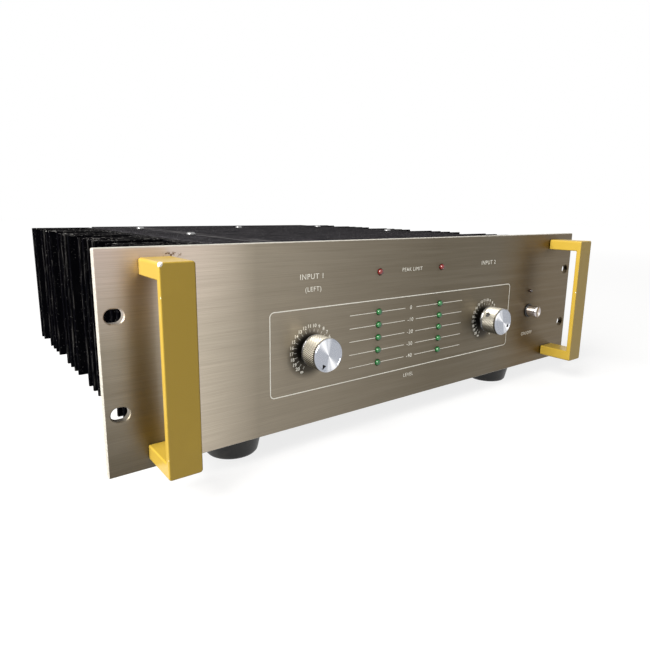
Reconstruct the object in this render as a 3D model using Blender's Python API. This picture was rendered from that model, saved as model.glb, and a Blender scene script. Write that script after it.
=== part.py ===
"""Two-channel rack power amplifier, 19 inches wide and three rack units high.

Metres, +Z up, front towards -Y, standing on its feet with its origin under the
middle of its box. Every piece hangs from one empty at the middle of the front
panel's face, so places below read as on the panel: x to the right, y back, z up.
"""
import math

import bmesh
import bpy
from mathutils import Vector

# Shared clearances
SEAT_GAP = 0.0003
RUNNING_GAP = 0.0003
CUT_OVERRUN = 0.002

# Front panel
PANEL_WIDTH = 0.4826
PANEL_HEIGHT = 0.1325
PANEL_THICKNESS = 0.005
PANEL_EDGE_RADIUS = 0.0009
GROUND_TO_PANEL = 0.01775

# Rack slots
SLOT_FROM_END = 0.00875
SLOT_SPACING_Z = 0.05715
SLOT_LENGTH = 0.0106
SLOT_HEIGHT = 0.0084
SLOT_CHAMFER = 0.0006

# Handles
HANDLE_FROM_END = 0.0333
HANDLE_WIDTH = 0.020
HANDLE_HEIGHT = 0.121
HANDLE_REACH = 0.033
HANDLE_LEG = 0.0098
HANDLE_BAR = 0.0042
HANDLE_EDGE_RADIUS = 0.0011

# Handle screws
HANDLE_SCREW_RADIUS = 0.0028
HANDLE_SCREW_HEAD_RADIUS = 0.0055
HANDLE_SCREW_HEAD_DEPTH = 0.0028
HANDLE_SCREW_GRIP = 0.012

# Level controls and their knobs
LEVEL_SPACING = 0.198
LEVEL_BELOW_CENTRE = 0.0102
KNOB_RADIUS = 0.0121
KNOB_REACH = 0.0205
KNOB_PANEL_GAP = 0.0035
KNOB_CHAMFER = 0.0007
KNOB_FACE_RADIUS = 0.0106
KNOB_FACE_DISH = 0.0004
KNOB_BORE_DEPTH = 0.0130
KNOB_RECESS_RADIUS = 0.0090
KNOB_RECESS_DEPTH = 0.0035
POINTER_WIDTH = 0.0022
POINTER_LENGTH = 0.0034
POINTER_DEPTH = 0.0009
SHAFT_RADIUS = 0.0030
SHAFT_TAIL = 0.0080
SHAFT_END_GAP = 0.0010
SET_SCREW_RADIUS = 0.0022
SET_SCREW_BELOW_SURFACE = 0.0008
SET_SCREW_FROM_BACK = 0.0070
SET_SCREW_SOCKET = 0.0012
SET_SCREW_SOCKET_DEPTH = 0.0016
BUSHING_RADIUS = 0.0047
BUSHING_REACH = 0.0055
NUT_RADIUS = 0.0078
NUT_THICKNESS = 0.0023
CONTROL_RADIUS = 0.0125
CONTROL_DEPTH = 0.0130
LUG_WIDTH = 0.0024
LUG_LENGTH = 0.0050
LUG_THICKNESS = 0.0012
LEVEL_STEPS = 22
LEVEL_SWEEP = math.radians(300.0)
CHANNEL_1_STEP = 0
CHANNEL_2_STEP = 19

# Power button and switch
BUTTON_FROM_HANDLE = 0.038
BUTTON_BELOW_CENTRE = 0.0100
BUTTON_RADIUS = 0.0054
BUTTON_REACH = 0.0108
BUTTON_TRAVEL = 0.0035
BUTTON_CHAMFER = 0.0006
BUTTON_TAIL = 0.0040
STEM_RADIUS = 0.0024
STEM_LENGTH = 0.0080
COLLAR_WALL = 0.0006
COLLAR_RIM = 0.0005
COLLAR_REACH = 0.0012
SWITCH_WIDTH = 0.0180
SWITCH_DEPTH = 0.0240

# Indicator lamps
LED_RADIUS = 0.0025
LED_REACH = 0.0027
LED_FLANGE = 0.0004
LED_FLANGE_DEPTH = 0.0010
LED_SPACING = 0.0702
LED_TOP_ROW = 0.0102
LED_ROW_PITCH = 0.01017
LED_ROWS = 5
OVERLOAD_ABOVE_CENTRE = 0.0414
POWER_LED_RADIUS = 0.0015
POWER_LED_ABOVE_CENTRE = 0.0100

# Display board behind the panel
BOARD_THICKNESS = 0.0016
BOARD_BEHIND_PANEL = 0.0040
DISPLAY_BOARD_WIDTH = 0.104
DISPLAY_BOARD_BOTTOM = -0.042
DISPLAY_BOARD_TOP = 0.052
DISPLAY_BOARD_INSET = 0.006
SPACER_RADIUS = 0.0030
CHIP_WIDTH = 0.0240
CHIP_HEIGHT = 0.0075
CHIP_THICKNESS = 0.0042

# Body
BODY_DEPTH = 0.395
SINK_TOP = 0.0625
SINK_BOTTOM = -0.0640
SINK_INNER = 0.150
SINK_PLATE = 0.008
SINK_OUTER = 0.211
SINK_FRONT = 0.037
FIN_PITCH = 0.0150
FIN_GROUP_PERIOD = 0.0834
FINS_IN_GROUP = 4
FIN_TIP = 0.0032
FIN_ROOT = 0.0044
FIN_TIP_CHAMFER = 0.0007

# Chassis base
BASE_HALF_WIDTH = 0.172
BASE_THICKNESS = 0.0017
BASE_REAR_INSET = 0.007
BASE_FLANGE_HEIGHT = 0.016
BULKHEAD_THICKNESS = 0.0018
FRONT_BOX_FROM_HANDLE = 0.002
WINDOW_WIDTH = 0.044
WINDOW_HEIGHT = 0.020
PILLAR_RADIUS = 0.0042
PILLAR_THREAD_DEPTH = 0.014

# Rear panel and top cover
REAR_PANEL_INSET = 0.015
REAR_PANEL_THICKNESS = 0.002
REAR_PANEL_SIDE_GAP = 0.0022
COVER_THICKNESS = 0.0015
COVER_LIP = 0.012
COVER_SIDE_LIP = 0.008
COVER_SCREW_FROM_SINK = 0.030
COVER_SCREW_FRONT_Y = 0.158
COVER_SCREW_RADIUS = 0.0018
COVER_SCREW_HEAD_RADIUS = 0.0039
COVER_SCREW_HEAD_HEIGHT = 0.0024
COVER_SCREW_LENGTH = 0.010
COVER_SCREW_CROSS = 0.0030
COVER_SCREW_CROSS_WIDTH = 0.0009
COVER_SCREW_CROSS_DEPTH = 0.0012

# Feet
FOOT_SPACING_X = 0.2975
FOOT_FRONT_Y = 0.0295
FOOT_FROM_REAR = 0.040
FOOT_TOP_RADIUS = 0.0220
FOOT_BOTTOM_RADIUS = 0.0187
FOOT_EDGE_RADIUS = 0.0025
FOOT_STUD_RADIUS = 0.0040

# Mains transformer and its clamp
TRANSFORMER_RADIUS = 0.070
TRANSFORMER_BORE = 0.020
TRANSFORMER_HEIGHT = 0.062
TRANSFORMER_EDGE_RADIUS = 0.012
CLAMP_RADIUS = 0.045
CLAMP_THICKNESS = 0.0030
CLAMP_BOLT_RADIUS = 0.0040
CLAMP_BOLT_HEAD_RADIUS = 0.0072
CLAMP_BOLT_HEAD_HEIGHT = 0.0055

# Smoothing capacitors
CAPACITOR_SPACING = 0.062
CAPACITOR_RADIUS = 0.0255
CAPACITOR_HEIGHT = 0.100
CAPACITOR_EDGE_RADIUS = 0.002
CAPACITOR_TERMINAL_RADIUS = 0.0040
CAPACITOR_TERMINAL_HEIGHT = 0.0050
CAPACITOR_TERMINAL_OFFSET = 0.0110

# Bridge rectifier
RECTIFIER_FROM_SINK = 0.052
RECTIFIER_SIDE = 0.0286
RECTIFIER_HEIGHT = 0.0100
RECTIFIER_TAB_WIDTH = 0.0062
RECTIFIER_TAB_THICKNESS = 0.0010
RECTIFIER_TAB_HEIGHT = 0.0085
RECTIFIER_TAB_OFFSET = 0.0088

# Amplifier boards
AMP_BOARD_STANDOFF = 0.0145
AMP_BOARD_FRONT_Y = 0.062
AMP_BOARD_FROM_REAR = 0.043
AMP_BOARD_BOTTOM = -0.052
AMP_BOARD_TOP = 0.050
AMP_BOARD_INSET = 0.008
RELAY_WIDTH = 0.020
RELAY_HEIGHT = 0.028
RELAY_THICKNESS = 0.0060

# Output transistors
TRANSISTOR_LENGTH = 0.039
TRANSISTOR_WIDTH = 0.026
TRANSISTOR_PLATE = 0.0018
TRANSISTOR_CAN_RADIUS = 0.0105
TRANSISTOR_CAN_HEIGHT = 0.0068

# Sockets on the rear panel
SOCKET_FLANGE_WIDTH = 0.026
SOCKET_FLANGE_HEIGHT = 0.031
SOCKET_FLANGE_THICKNESS = 0.0025
SOCKET_BARREL_RADIUS = 0.0110
SOCKET_BARREL_DEPTH = 0.020
SOCKET_BORE_RADIUS = 0.0078
SOCKET_BORE_DEPTH = 0.013
SOCKET_CONTACT_RADIUS = 0.0012
SOCKET_CONTACT_OFFSET = 0.0040
SOCKET_CONTACT_DEPTH = 0.0050
INPUT_SPACING = 0.048
INPUT_FROM_SINK = 0.052
INPUT_Z = 0.020
TERMINAL_X = 0.030
TERMINAL_Z = 0.020
TERMINAL_BLOCK_WIDTH = 0.084
TERMINAL_BLOCK_HEIGHT = 0.024
TERMINAL_BLOCK_DEPTH = 0.018
TERMINAL_BLOCK_FLANGE = 0.004
TERMINAL_PITCH = 0.019
TERMINAL_COUNT = 4
TERMINAL_BORE_RADIUS = 0.0036
TERMINAL_BORE_DEPTH = 0.013
TERMINAL_RIM = 0.0016
TERMINAL_RIM_REACH = 0.0035
INLET_FROM_SINK = 0.035
INLET_Z = -0.030
INLET_FLANGE_WIDTH = 0.040
INLET_FLANGE_HEIGHT = 0.030
INLET_FLANGE_THICKNESS = 0.0025
INLET_BODY_WIDTH = 0.0300
INLET_BODY_HEIGHT = 0.0220
INLET_BODY_DEPTH = 0.0220
INLET_WALL = 0.0025
INLET_RECESS_DEPTH = 0.0170
INLET_PIN_WIDTH = 0.0018
INLET_PIN_HEIGHT = 0.0038
INLET_PIN_LENGTH = 0.0060
INLET_PIN_PITCH = 0.0065

# Room left over from front to rear, shared out in front of each row of pieces
CAPACITOR_GAP_SHARE = 0.223
TRANSFORMER_GAP_SHARE = 0.156
PILLAR_GAP_SHARE = 0.135

# Counts of sides on round pieces
SIDES_LARGE = 36
SIDES_MEDIUM = 24
SIDES_SMALL = 12
ARC_STEPS = 3

# Worked out from the sizes above
PANEL_TOP = PANEL_HEIGHT / 2
PANEL_CENTRE_Z = GROUND_TO_PANEL + PANEL_HEIGHT / 2
GROUND = -PANEL_CENTRE_Z
BEHIND_PANEL = PANEL_THICKNESS + SEAT_GAP
PANEL_FACE_Y = (HANDLE_REACH - BODY_DEPTH) / 2
BASE_TOP = SINK_BOTTOM - SEAT_GAP
BASE_BOTTOM = BASE_TOP - BASE_THICKNESS
ON_BASE = BASE_TOP + SEAT_GAP
COVER_TOP = SINK_TOP + COVER_THICKNESS - SEAT_GAP
COVER_UNDER = COVER_TOP - COVER_THICKNESS
REAR_PANEL_BACK = BODY_DEPTH - REAR_PANEL_INSET
REAR_PANEL_FRONT = REAR_PANEL_BACK - REAR_PANEL_THICKNESS
BULKHEAD_BACK = SINK_FRONT - SEAT_GAP
BULKHEAD_FRONT = BULKHEAD_BACK - BULKHEAD_THICKNESS
CONTROL_HOLE = BUSHING_RADIUS + SEAT_GAP
LED_HOLE = LED_RADIUS + SEAT_GAP
POWER_LED_HOLE = POWER_LED_RADIUS + SEAT_GAP
BUTTON_BORE = BUTTON_RADIUS + RUNNING_GAP
COLLAR_RADIUS = BUTTON_BORE + COLLAR_WALL
BOARD_FRONT = PANEL_THICKNESS + BOARD_BEHIND_PANEL
LAST_FIN_Y = BODY_DEPTH - FIN_ROOT / 2
SLOT_SPACING_X = PANEL_WIDTH - 2 * SLOT_FROM_END
HANDLE_SPACING = PANEL_WIDTH - 2 * HANDLE_FROM_END
BUTTON_RIGHT = HANDLE_SPACING / 2 - BUTTON_FROM_HANDLE
FRONT_BOX_HALF_WIDTH = HANDLE_SPACING / 2 - HANDLE_WIDTH / 2 - FRONT_BOX_FROM_HANDLE
COVER_SCREW_SPACING = 2 * (SINK_INNER - COVER_SCREW_FROM_SINK)
RECTIFIER_X = RECTIFIER_FROM_SINK - SINK_INNER
INPUT_X = INPUT_FROM_SINK - SINK_INNER
FOOT_REAR_Y = BODY_DEPTH - FOOT_FROM_REAR
AMP_BOARD_LENGTH = BODY_DEPTH - AMP_BOARD_FRONT_Y - AMP_BOARD_FROM_REAR
ROOM_END = REAR_PANEL_BACK + SEAT_GAP + INLET_FLANGE_THICKNESS - INLET_BODY_DEPTH
SPARE_DEPTH = ROOM_END - BULKHEAD_BACK - 2 * (CAPACITOR_RADIUS + TRANSFORMER_RADIUS + PILLAR_RADIUS)
CAPACITOR_Y = BULKHEAD_BACK + CAPACITOR_GAP_SHARE * SPARE_DEPTH + CAPACITOR_RADIUS
TRANSFORMER_Y = CAPACITOR_Y + CAPACITOR_RADIUS + TRANSFORMER_GAP_SHARE * SPARE_DEPTH + TRANSFORMER_RADIUS
COVER_SCREW_REAR_Y = TRANSFORMER_Y + TRANSFORMER_RADIUS + PILLAR_GAP_SHARE * SPARE_DEPTH + PILLAR_RADIUS
RECTIFIER_Y = CAPACITOR_Y - CAPACITOR_RADIUS + RECTIFIER_SIDE / 2
INLET_X = SINK_INNER - INLET_FROM_SINK
PILLAR_PLACES = [
    (-COVER_SCREW_SPACING / 2, COVER_SCREW_FRONT_Y),
    (COVER_SCREW_SPACING / 2, COVER_SCREW_FRONT_Y),
    (-COVER_SCREW_SPACING / 2, COVER_SCREW_REAR_Y),
    (0.0, COVER_SCREW_REAR_Y),
    (COVER_SCREW_SPACING / 2, COVER_SCREW_REAR_Y),
]


def clear_scene():
    for old in list(bpy.data.objects):
        bpy.data.objects.remove(old, do_unlink=True)


def material(name, colour, roughness, metallic):
    mat = bpy.data.materials.new(name)
    mat.use_nodes = True
    shader = mat.node_tree.nodes["Principled BSDF"]
    shader.inputs["Base Color"].default_value = (*colour, 1.0)
    shader.inputs["Roughness"].default_value = roughness
    shader.inputs["Metallic"].default_value = metallic
    return mat


def empty(name, place, parent=None, turn=0.0):
    """A plain empty; turn is clockwise as seen from the front."""
    obj = bpy.data.objects.new(name, None)
    bpy.context.collection.objects.link(obj)
    obj.location = place
    obj.rotation_euler = (0.0, turn, 0.0)
    obj.parent = parent
    return obj


def piece(name, bm, mat, place=(0.0, 0.0, 0.0), parent=None, turn=(0.0, 0.0, 0.0)):
    """Turn a bmesh into a named object with outward faces and one material."""
    bmesh.ops.recalc_face_normals(bm, faces=bm.faces)
    mesh = bpy.data.meshes.new(name)
    bm.to_mesh(mesh)
    bm.free()
    obj = bpy.data.objects.new(name, mesh)
    bpy.context.collection.objects.link(obj)
    obj.location = place
    obj.rotation_euler = turn
    obj.parent = parent
    if mat is not None:
        mesh.materials.append(mat)
    return obj


def smooth(obj, degrees=40.0):
    obj.data.shade_smooth()
    obj.data.set_sharp_from_angle(angle=math.radians(degrees))


def box(bm, low, high):
    """Add an axis-aligned box to a bmesh, from its low corner to its high one."""
    made = bmesh.ops.create_cube(bm, size=1.0)["verts"]
    middle = (Vector(low) + Vector(high)) / 2
    size = Vector(high) - Vector(low)
    for v in made:
        v.co = Vector((v.co.x * size.x, v.co.y * size.y, v.co.z * size.z)) + middle


def loft(bm, rings):
    """Skin a list of rings of points, all of one length, and cap both ends."""
    loops = [[bm.verts.new(p) for p in ring] for ring in rings]
    count = len(loops[0])
    for near, far in zip(loops, loops[1:]):
        for i in range(count):
            j = (i + 1) % count
            bm.faces.new((near[i], near[j], far[j], far[i]))
    bm.faces.new(loops[0])
    bm.faces.new(list(reversed(loops[-1])))


def lathe(bm, profile, sides, axis="Y", centre=(0.0, 0.0, 0.0)):
    """Turn (radius, height) points about an axis; end points may lie on it."""
    turned = []
    for radius, height in profile:
        if radius == 0.0:
            turned.append([bm.verts.new(on_axis(0.0, 0.0, height, axis, centre))])
            continue
        ring = []
        for i in range(sides):
            a = math.tau * i / sides
            place = on_axis(radius * math.cos(a), radius * math.sin(a), height, axis, centre)
            ring.append(bm.verts.new(place))
        turned.append(ring)
    for near, far in zip(turned, turned[1:]):
        for i in range(sides):
            j = (i + 1) % sides
            if len(near) == 1:
                bm.faces.new((near[0], far[i], far[j]))
            elif len(far) == 1:
                bm.faces.new((near[i], near[j], far[0]))
            else:
                bm.faces.new((near[i], near[j], far[j], far[i]))
    if len(turned[0]) > 1:
        bm.faces.new(turned[0])
    if len(turned[-1]) > 1:
        bm.faces.new(list(reversed(turned[-1])))


def on_axis(u, v, height, axis, centre):
    """A point at height along an axis, u and v across it."""
    flat = {"X": (height, u, v), "Y": (u, height, v), "Z": (u, v, height)}[axis]
    return Vector(flat) + Vector(centre)


def cylinder(bm, radius, start, end, sides, axis="Y", centre=(0.0, 0.0, 0.0)):
    lathe(bm, [(radius, start), (radius, end)], sides, axis, centre)


def prism(bm, outline, bottom, top):
    """Extrude an (x, y) outline along Z."""
    loft(bm, [[(x, y, bottom) for x, y in outline], [(x, y, top) for x, y in outline]])


def stadium(length, height, steps):
    """Outline of a slot with round ends, as (x, z) points."""
    half = (length - height) / 2
    points = []
    for side, start in ((1.0, -math.pi / 2), (-1.0, math.pi / 2)):
        for i in range(steps + 1):
            a = start + math.pi * i / steps
            points.append((side * half + height / 2 * math.cos(a), height / 2 * math.sin(a)))
    return points


def rounded_profile(radius, bottom, top, edge):
    """Profile of a disc from bottom to top with both outer edges rounded."""
    points = [(0.0, bottom), (radius - edge, bottom)]
    for i in range(1, ARC_STEPS + 1):
        a = math.pi / 2 * i / ARC_STEPS
        points.append((radius - edge + edge * math.sin(a), bottom + edge - edge * math.cos(a)))
    for i in range(ARC_STEPS + 1):
        a = math.pi / 2 * i / ARC_STEPS
        points.append((radius - edge + edge * math.cos(a), top - edge + edge * math.sin(a)))
    points.append((0.0, top))
    return points


def apply_modifier(obj, kind, **settings):
    modifier = obj.modifiers.new(kind.lower(), kind)
    for key, value in settings.items():
        setattr(modifier, key, value)
    bpy.context.view_layer.objects.active = obj
    bpy.ops.object.modifier_apply(modifier=modifier.name)


def bevel(obj, width, segments=2):
    apply_modifier(obj, "BEVEL", width=width, segments=segments, limit_method="ANGLE")


def combine(obj, bm, operation):
    """Cut a bmesh out of an object, or unite the two, with an exact Boolean."""
    tool = piece(obj.name + "_tool", bm, None, obj.location, obj.parent, obj.rotation_euler)
    tool.hide_render = True
    tool.display_type = "WIRE"
    bpy.context.view_layer.update()
    apply_modifier(obj, "BOOLEAN", operation=operation, solver="EXACT", object=tool)
    mesh = tool.data
    bpy.data.objects.remove(tool, do_unlink=True)
    bpy.data.meshes.remove(mesh)


def led_rows():
    return [LED_TOP_ROW - LED_ROW_PITCH * i for i in range(LED_ROWS)]


def signs():
    return (-1.0, 1.0)


def front_panel(root, mat):
    bm = bmesh.new()
    box(bm, (-PANEL_WIDTH / 2, 0.0, -PANEL_TOP), (PANEL_WIDTH / 2, PANEL_THICKNESS, PANEL_TOP))
    obj = piece("front_panel", bm, mat, parent=root)
    bevel(obj, PANEL_EDGE_RADIUS)
    holes = bmesh.new()
    through = (-CUT_OVERRUN, PANEL_THICKNESS + CUT_OVERRUN)
    for side in signs():
        for up in signs():
            slot_tool(holes, side * SLOT_SPACING_X / 2, up * SLOT_SPACING_Z / 2)
            handle_hole_tool(holes, side * HANDLE_SPACING / 2, up * handle_screw_height())
        at_control = (side * LEVEL_SPACING / 2, 0.0, -LEVEL_BELOW_CENTRE)
        cylinder(holes, CONTROL_HOLE, *through, SIDES_SMALL, "Y", at_control)
        for row in led_rows() + [OVERLOAD_ABOVE_CENTRE]:
            at_led = (side * LED_SPACING / 2, 0.0, row)
            cylinder(holes, LED_HOLE, *through, SIDES_SMALL, "Y", at_led)
    at_button = (BUTTON_RIGHT, 0.0, -BUTTON_BELOW_CENTRE)
    cylinder(holes, COLLAR_RADIUS + SEAT_GAP, *through, SIDES_MEDIUM, "Y", at_button)
    at_lamp = (BUTTON_RIGHT, 0.0, POWER_LED_ABOVE_CENTRE)
    cylinder(holes, POWER_LED_HOLE, *through, SIDES_SMALL, "Y", at_lamp)
    combine(obj, holes, "DIFFERENCE")
    smooth(obj)


def slot_tool(bm, x, z):
    """Cutter for one rack slot, with a small chamfer at the panel's face."""
    rings = []
    wide = 2 * SLOT_CHAMFER
    for grow, y in ((wide, -CUT_OVERRUN), (wide, 0.0), (0.0, SLOT_CHAMFER), (0.0, PANEL_THICKNESS + CUT_OVERRUN)):
        outline = stadium(SLOT_LENGTH + grow, SLOT_HEIGHT + grow, SIDES_SMALL // 2)
        rings.append([(x + u, y, z + v) for u, v in outline])
    loft(bm, rings)


def handle_screw_height():
    return HANDLE_HEIGHT / 2 - HANDLE_LEG / 2


def handle_hole_tool(bm, x, z):
    """Cutter for a handle screw: a clear hole, countersunk from the back."""
    hole = HANDLE_SCREW_RADIUS + SEAT_GAP
    head = HANDLE_SCREW_HEAD_RADIUS + SEAT_GAP
    sink = PANEL_THICKNESS - HANDLE_SCREW_HEAD_DEPTH - SEAT_GAP
    profile = [(hole, -CUT_OVERRUN), (hole, sink), (head, PANEL_THICKNESS), (head, PANEL_THICKNESS + CUT_OVERRUN)]
    lathe(bm, profile, SIDES_SMALL, "Y", (x, 0.0, z))


def handle(name, side, root, mat):
    """A flat bar on two legs, one piece, tapped from behind in each leg."""
    back, front = -SEAT_GAP, -HANDLE_REACH
    top = HANDLE_HEIGHT / 2
    inner = top - HANDLE_LEG
    behind_bar = front + HANDLE_BAR
    outline = [(back, -top), (front, -top), (front, top), (back, top),
               (back, inner), (behind_bar, inner), (behind_bar, -inner), (back, -inner)]
    bm = bmesh.new()
    half = HANDLE_WIDTH / 2
    loft(bm, [[(-half, y, z) for y, z in outline], [(half, y, z) for y, z in outline]])
    obj = piece(name, bm, mat, (side * HANDLE_SPACING / 2, 0.0, 0.0), root)
    bevel(obj, HANDLE_EDGE_RADIUS)
    holes = bmesh.new()
    radius = HANDLE_SCREW_RADIUS + SEAT_GAP
    for up in signs():
        at = (0.0, 0.0, up * handle_screw_height())
        cylinder(holes, radius, -HANDLE_SCREW_GRIP - SEAT_GAP, CUT_OVERRUN, SIDES_SMALL, "Y", at)
    combine(obj, holes, "DIFFERENCE")
    smooth(obj)


def handle_screw(name, side, up, root, mat):
    """Countersunk screw, head flush with the back of the panel."""
    seat = PANEL_THICKNESS - HANDLE_SCREW_HEAD_DEPTH
    profile = [(0.0, -HANDLE_SCREW_GRIP), (HANDLE_SCREW_RADIUS, -HANDLE_SCREW_GRIP), (HANDLE_SCREW_RADIUS, seat),
               (HANDLE_SCREW_HEAD_RADIUS, PANEL_THICKNESS), (0.0, PANEL_THICKNESS)]
    bm = bmesh.new()
    lathe(bm, profile, SIDES_SMALL)
    place = (side * HANDLE_SPACING / 2, 0.0, up * handle_screw_height())
    smooth(piece(name, bm, mat, place, root))


def knob(name, axis, mat):
    """Turned knob with a dished face, a pointer notch at its rim, a bore for the
    shaft, a recess over the nut and a radial hole for its set screw."""
    front, back = -KNOB_REACH, -KNOB_PANEL_GAP
    bore = SHAFT_RADIUS + SEAT_GAP
    bore_end = back - KNOB_BORE_DEPTH
    recess = back - KNOB_RECESS_DEPTH
    rim = KNOB_RADIUS - KNOB_CHAMFER
    profile = [(0.0, bore_end), (bore, bore_end), (bore, recess), (KNOB_RECESS_RADIUS, recess),
               (KNOB_RECESS_RADIUS, back), (rim, back), (KNOB_RADIUS, back - KNOB_CHAMFER),
               (KNOB_RADIUS, front + KNOB_CHAMFER), (rim, front), (KNOB_FACE_RADIUS, front),
               (KNOB_FACE_RADIUS - KNOB_FACE_DISH, front + KNOB_FACE_DISH), (0.0, front + KNOB_FACE_DISH)]
    bm = bmesh.new()
    lathe(bm, profile, SIDES_LARGE)
    obj = piece(name, bm, mat, parent=axis)
    tools = bmesh.new()
    half = POINTER_WIDTH / 2
    box(tools, (-half, front - CUT_OVERRUN, KNOB_RADIUS - POINTER_LENGTH),
        (half, front + POINTER_DEPTH, KNOB_RADIUS + CUT_OVERRUN))
    hole = SET_SCREW_RADIUS + SEAT_GAP
    at = (0.0, back - SET_SCREW_FROM_BACK, 0.0)
    cylinder(tools, hole, -KNOB_RADIUS - CUT_OVERRUN, -SHAFT_RADIUS, SIDES_SMALL, "Z", at)
    combine(obj, tools, "DIFFERENCE")
    smooth(obj, 30.0)


def set_screw(name, axis, mat):
    """Headless screw in the knob's side, opposite the pointer."""
    outer = -KNOB_RADIUS + SET_SCREW_BELOW_SURFACE
    inner = -SHAFT_RADIUS - SEAT_GAP
    place = (0.0, -KNOB_PANEL_GAP - SET_SCREW_FROM_BACK, 0.0)
    bm = bmesh.new()
    cylinder(bm, SET_SCREW_RADIUS, outer, inner, SIDES_SMALL, "Z")
    obj = piece(name, bm, mat, place, axis)
    socket = bmesh.new()
    cylinder(socket, SET_SCREW_SOCKET, outer - CUT_OVERRUN, outer + SET_SCREW_SOCKET_DEPTH, 6, "Z")
    combine(obj, socket, "DIFFERENCE")
    smooth(obj, 30.0)


def level_shaft(name, axis, mat):
    front = -KNOB_PANEL_GAP - KNOB_BORE_DEPTH + SHAFT_END_GAP
    bm = bmesh.new()
    cylinder(bm, SHAFT_RADIUS, front, BEHIND_PANEL + SHAFT_TAIL, SIDES_SMALL)
    smooth(piece(name, bm, mat, parent=axis))


def level_control(name, side, root, mat):
    """Stepped level control: threaded bushing through the panel, its nut in
    front, and a round case behind with three solder lugs."""
    place = (side * LEVEL_SPACING / 2, 0.0, -LEVEL_BELOW_CENTRE)
    back = BEHIND_PANEL + CONTROL_DEPTH
    bore = SHAFT_RADIUS + RUNNING_GAP
    bore_end = BEHIND_PANEL + SHAFT_TAIL + SHAFT_END_GAP
    nut_back, nut_front = -SEAT_GAP, -SEAT_GAP - NUT_THICKNESS
    profile = [(0.0, bore_end), (bore, bore_end), (bore, -BUSHING_REACH), (BUSHING_RADIUS, -BUSHING_REACH),
               (BUSHING_RADIUS, nut_front), (NUT_RADIUS, nut_front), (NUT_RADIUS, nut_back),
               (BUSHING_RADIUS, nut_back), (BUSHING_RADIUS, BEHIND_PANEL), (CONTROL_RADIUS, BEHIND_PANEL),
               (CONTROL_RADIUS, back), (0.0, back)]
    bm = bmesh.new()
    lathe(bm, profile, SIDES_SMALL)
    obj = piece(name, bm, mat, place, root)
    lugs = bmesh.new()
    for i in (-1, 0, 1):
        x = i * 2 * LUG_WIDTH
        low = (x - LUG_WIDTH / 2, back - 2 * LUG_THICKNESS, -CONTROL_RADIUS - LUG_LENGTH)
        high = (x + LUG_WIDTH / 2, back - LUG_THICKNESS, -CONTROL_RADIUS + 2 * LUG_THICKNESS)
        box(lugs, low, high)
    combine(obj, lugs, "UNION")
    smooth(obj, 30.0)


def power_button(axis, mat):
    """Push button: a cap, its guided tail and the stem that works the switch."""
    front = -BUTTON_REACH
    tail = BUTTON_TAIL
    rim = BUTTON_RADIUS - BUTTON_CHAMFER
    profile = [(0.0, front), (rim, front), (BUTTON_RADIUS, front + BUTTON_CHAMFER), (BUTTON_RADIUS, tail),
               (STEM_RADIUS, tail), (STEM_RADIUS, tail + STEM_LENGTH), (0.0, tail + STEM_LENGTH)]
    bm = bmesh.new()
    lathe(bm, profile, SIDES_MEDIUM)
    smooth(piece("power_button", bm, mat, parent=axis), 30.0)


def power_switch(root, mat):
    """Latching switch: a black collar through the panel and a square case."""
    place = (BUTTON_RIGHT, 0.0, -BUTTON_BELOW_CENTRE)
    bore_end = BUTTON_TAIL + BUTTON_TRAVEL + SEAT_GAP
    stem_end = BUTTON_TAIL + STEM_LENGTH + BUTTON_TRAVEL + SEAT_GAP
    stem_bore = STEM_RADIUS + RUNNING_GAP
    rim = COLLAR_RADIUS + COLLAR_RIM
    profile = [(0.0, stem_end), (stem_bore, stem_end), (stem_bore, bore_end), (BUTTON_BORE, bore_end),
               (BUTTON_BORE, -COLLAR_REACH), (rim, -COLLAR_REACH), (rim, -SEAT_GAP), (COLLAR_RADIUS, -SEAT_GAP),
               (COLLAR_RADIUS, stem_end + SEAT_GAP), (0.0, stem_end + SEAT_GAP)]
    bm = bmesh.new()
    lathe(bm, profile, SIDES_MEDIUM)
    obj = piece("power_switch", bm, mat, place, root)
    half = SWITCH_WIDTH / 2
    case = bmesh.new()
    box(case, (-half, BEHIND_PANEL, -half), (half, BEHIND_PANEL + SWITCH_DEPTH, half))
    shell = piece("power_switch_case", case, None, place, root)
    room = bmesh.new()
    cylinder(room, COLLAR_RADIUS - COLLAR_WALL / 2, BEHIND_PANEL - CUT_OVERRUN, stem_end, SIDES_MEDIUM)
    combine(shell, room, "DIFFERENCE")
    bpy.context.view_layer.update()
    apply_modifier(obj, "BOOLEAN", operation="UNION", solver="EXACT", object=shell)
    bpy.data.objects.remove(shell, do_unlink=True)
    smooth(obj, 30.0)


def lamp(name, radius, place, root, mat):
    """Round indicator lamp: dome in front, flange behind the panel."""
    front = -LED_REACH
    profile = [(0.0, front)]
    for i in range(1, ARC_STEPS + 1):
        a = math.pi / 2 * i / ARC_STEPS
        profile.append((radius * math.sin(a), front + radius * (1.0 - math.cos(a))))
    flange = radius + LED_FLANGE + SEAT_GAP
    flange_back = BEHIND_PANEL + LED_FLANGE_DEPTH
    back = BOARD_FRONT - SEAT_GAP
    profile += [(radius, BEHIND_PANEL), (flange, BEHIND_PANEL), (flange, flange_back),
                (radius, flange_back), (radius, back), (0.0, back)]
    bm = bmesh.new()
    lathe(bm, profile, SIDES_SMALL)
    smooth(piece(name, bm, mat, place, root))


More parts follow.
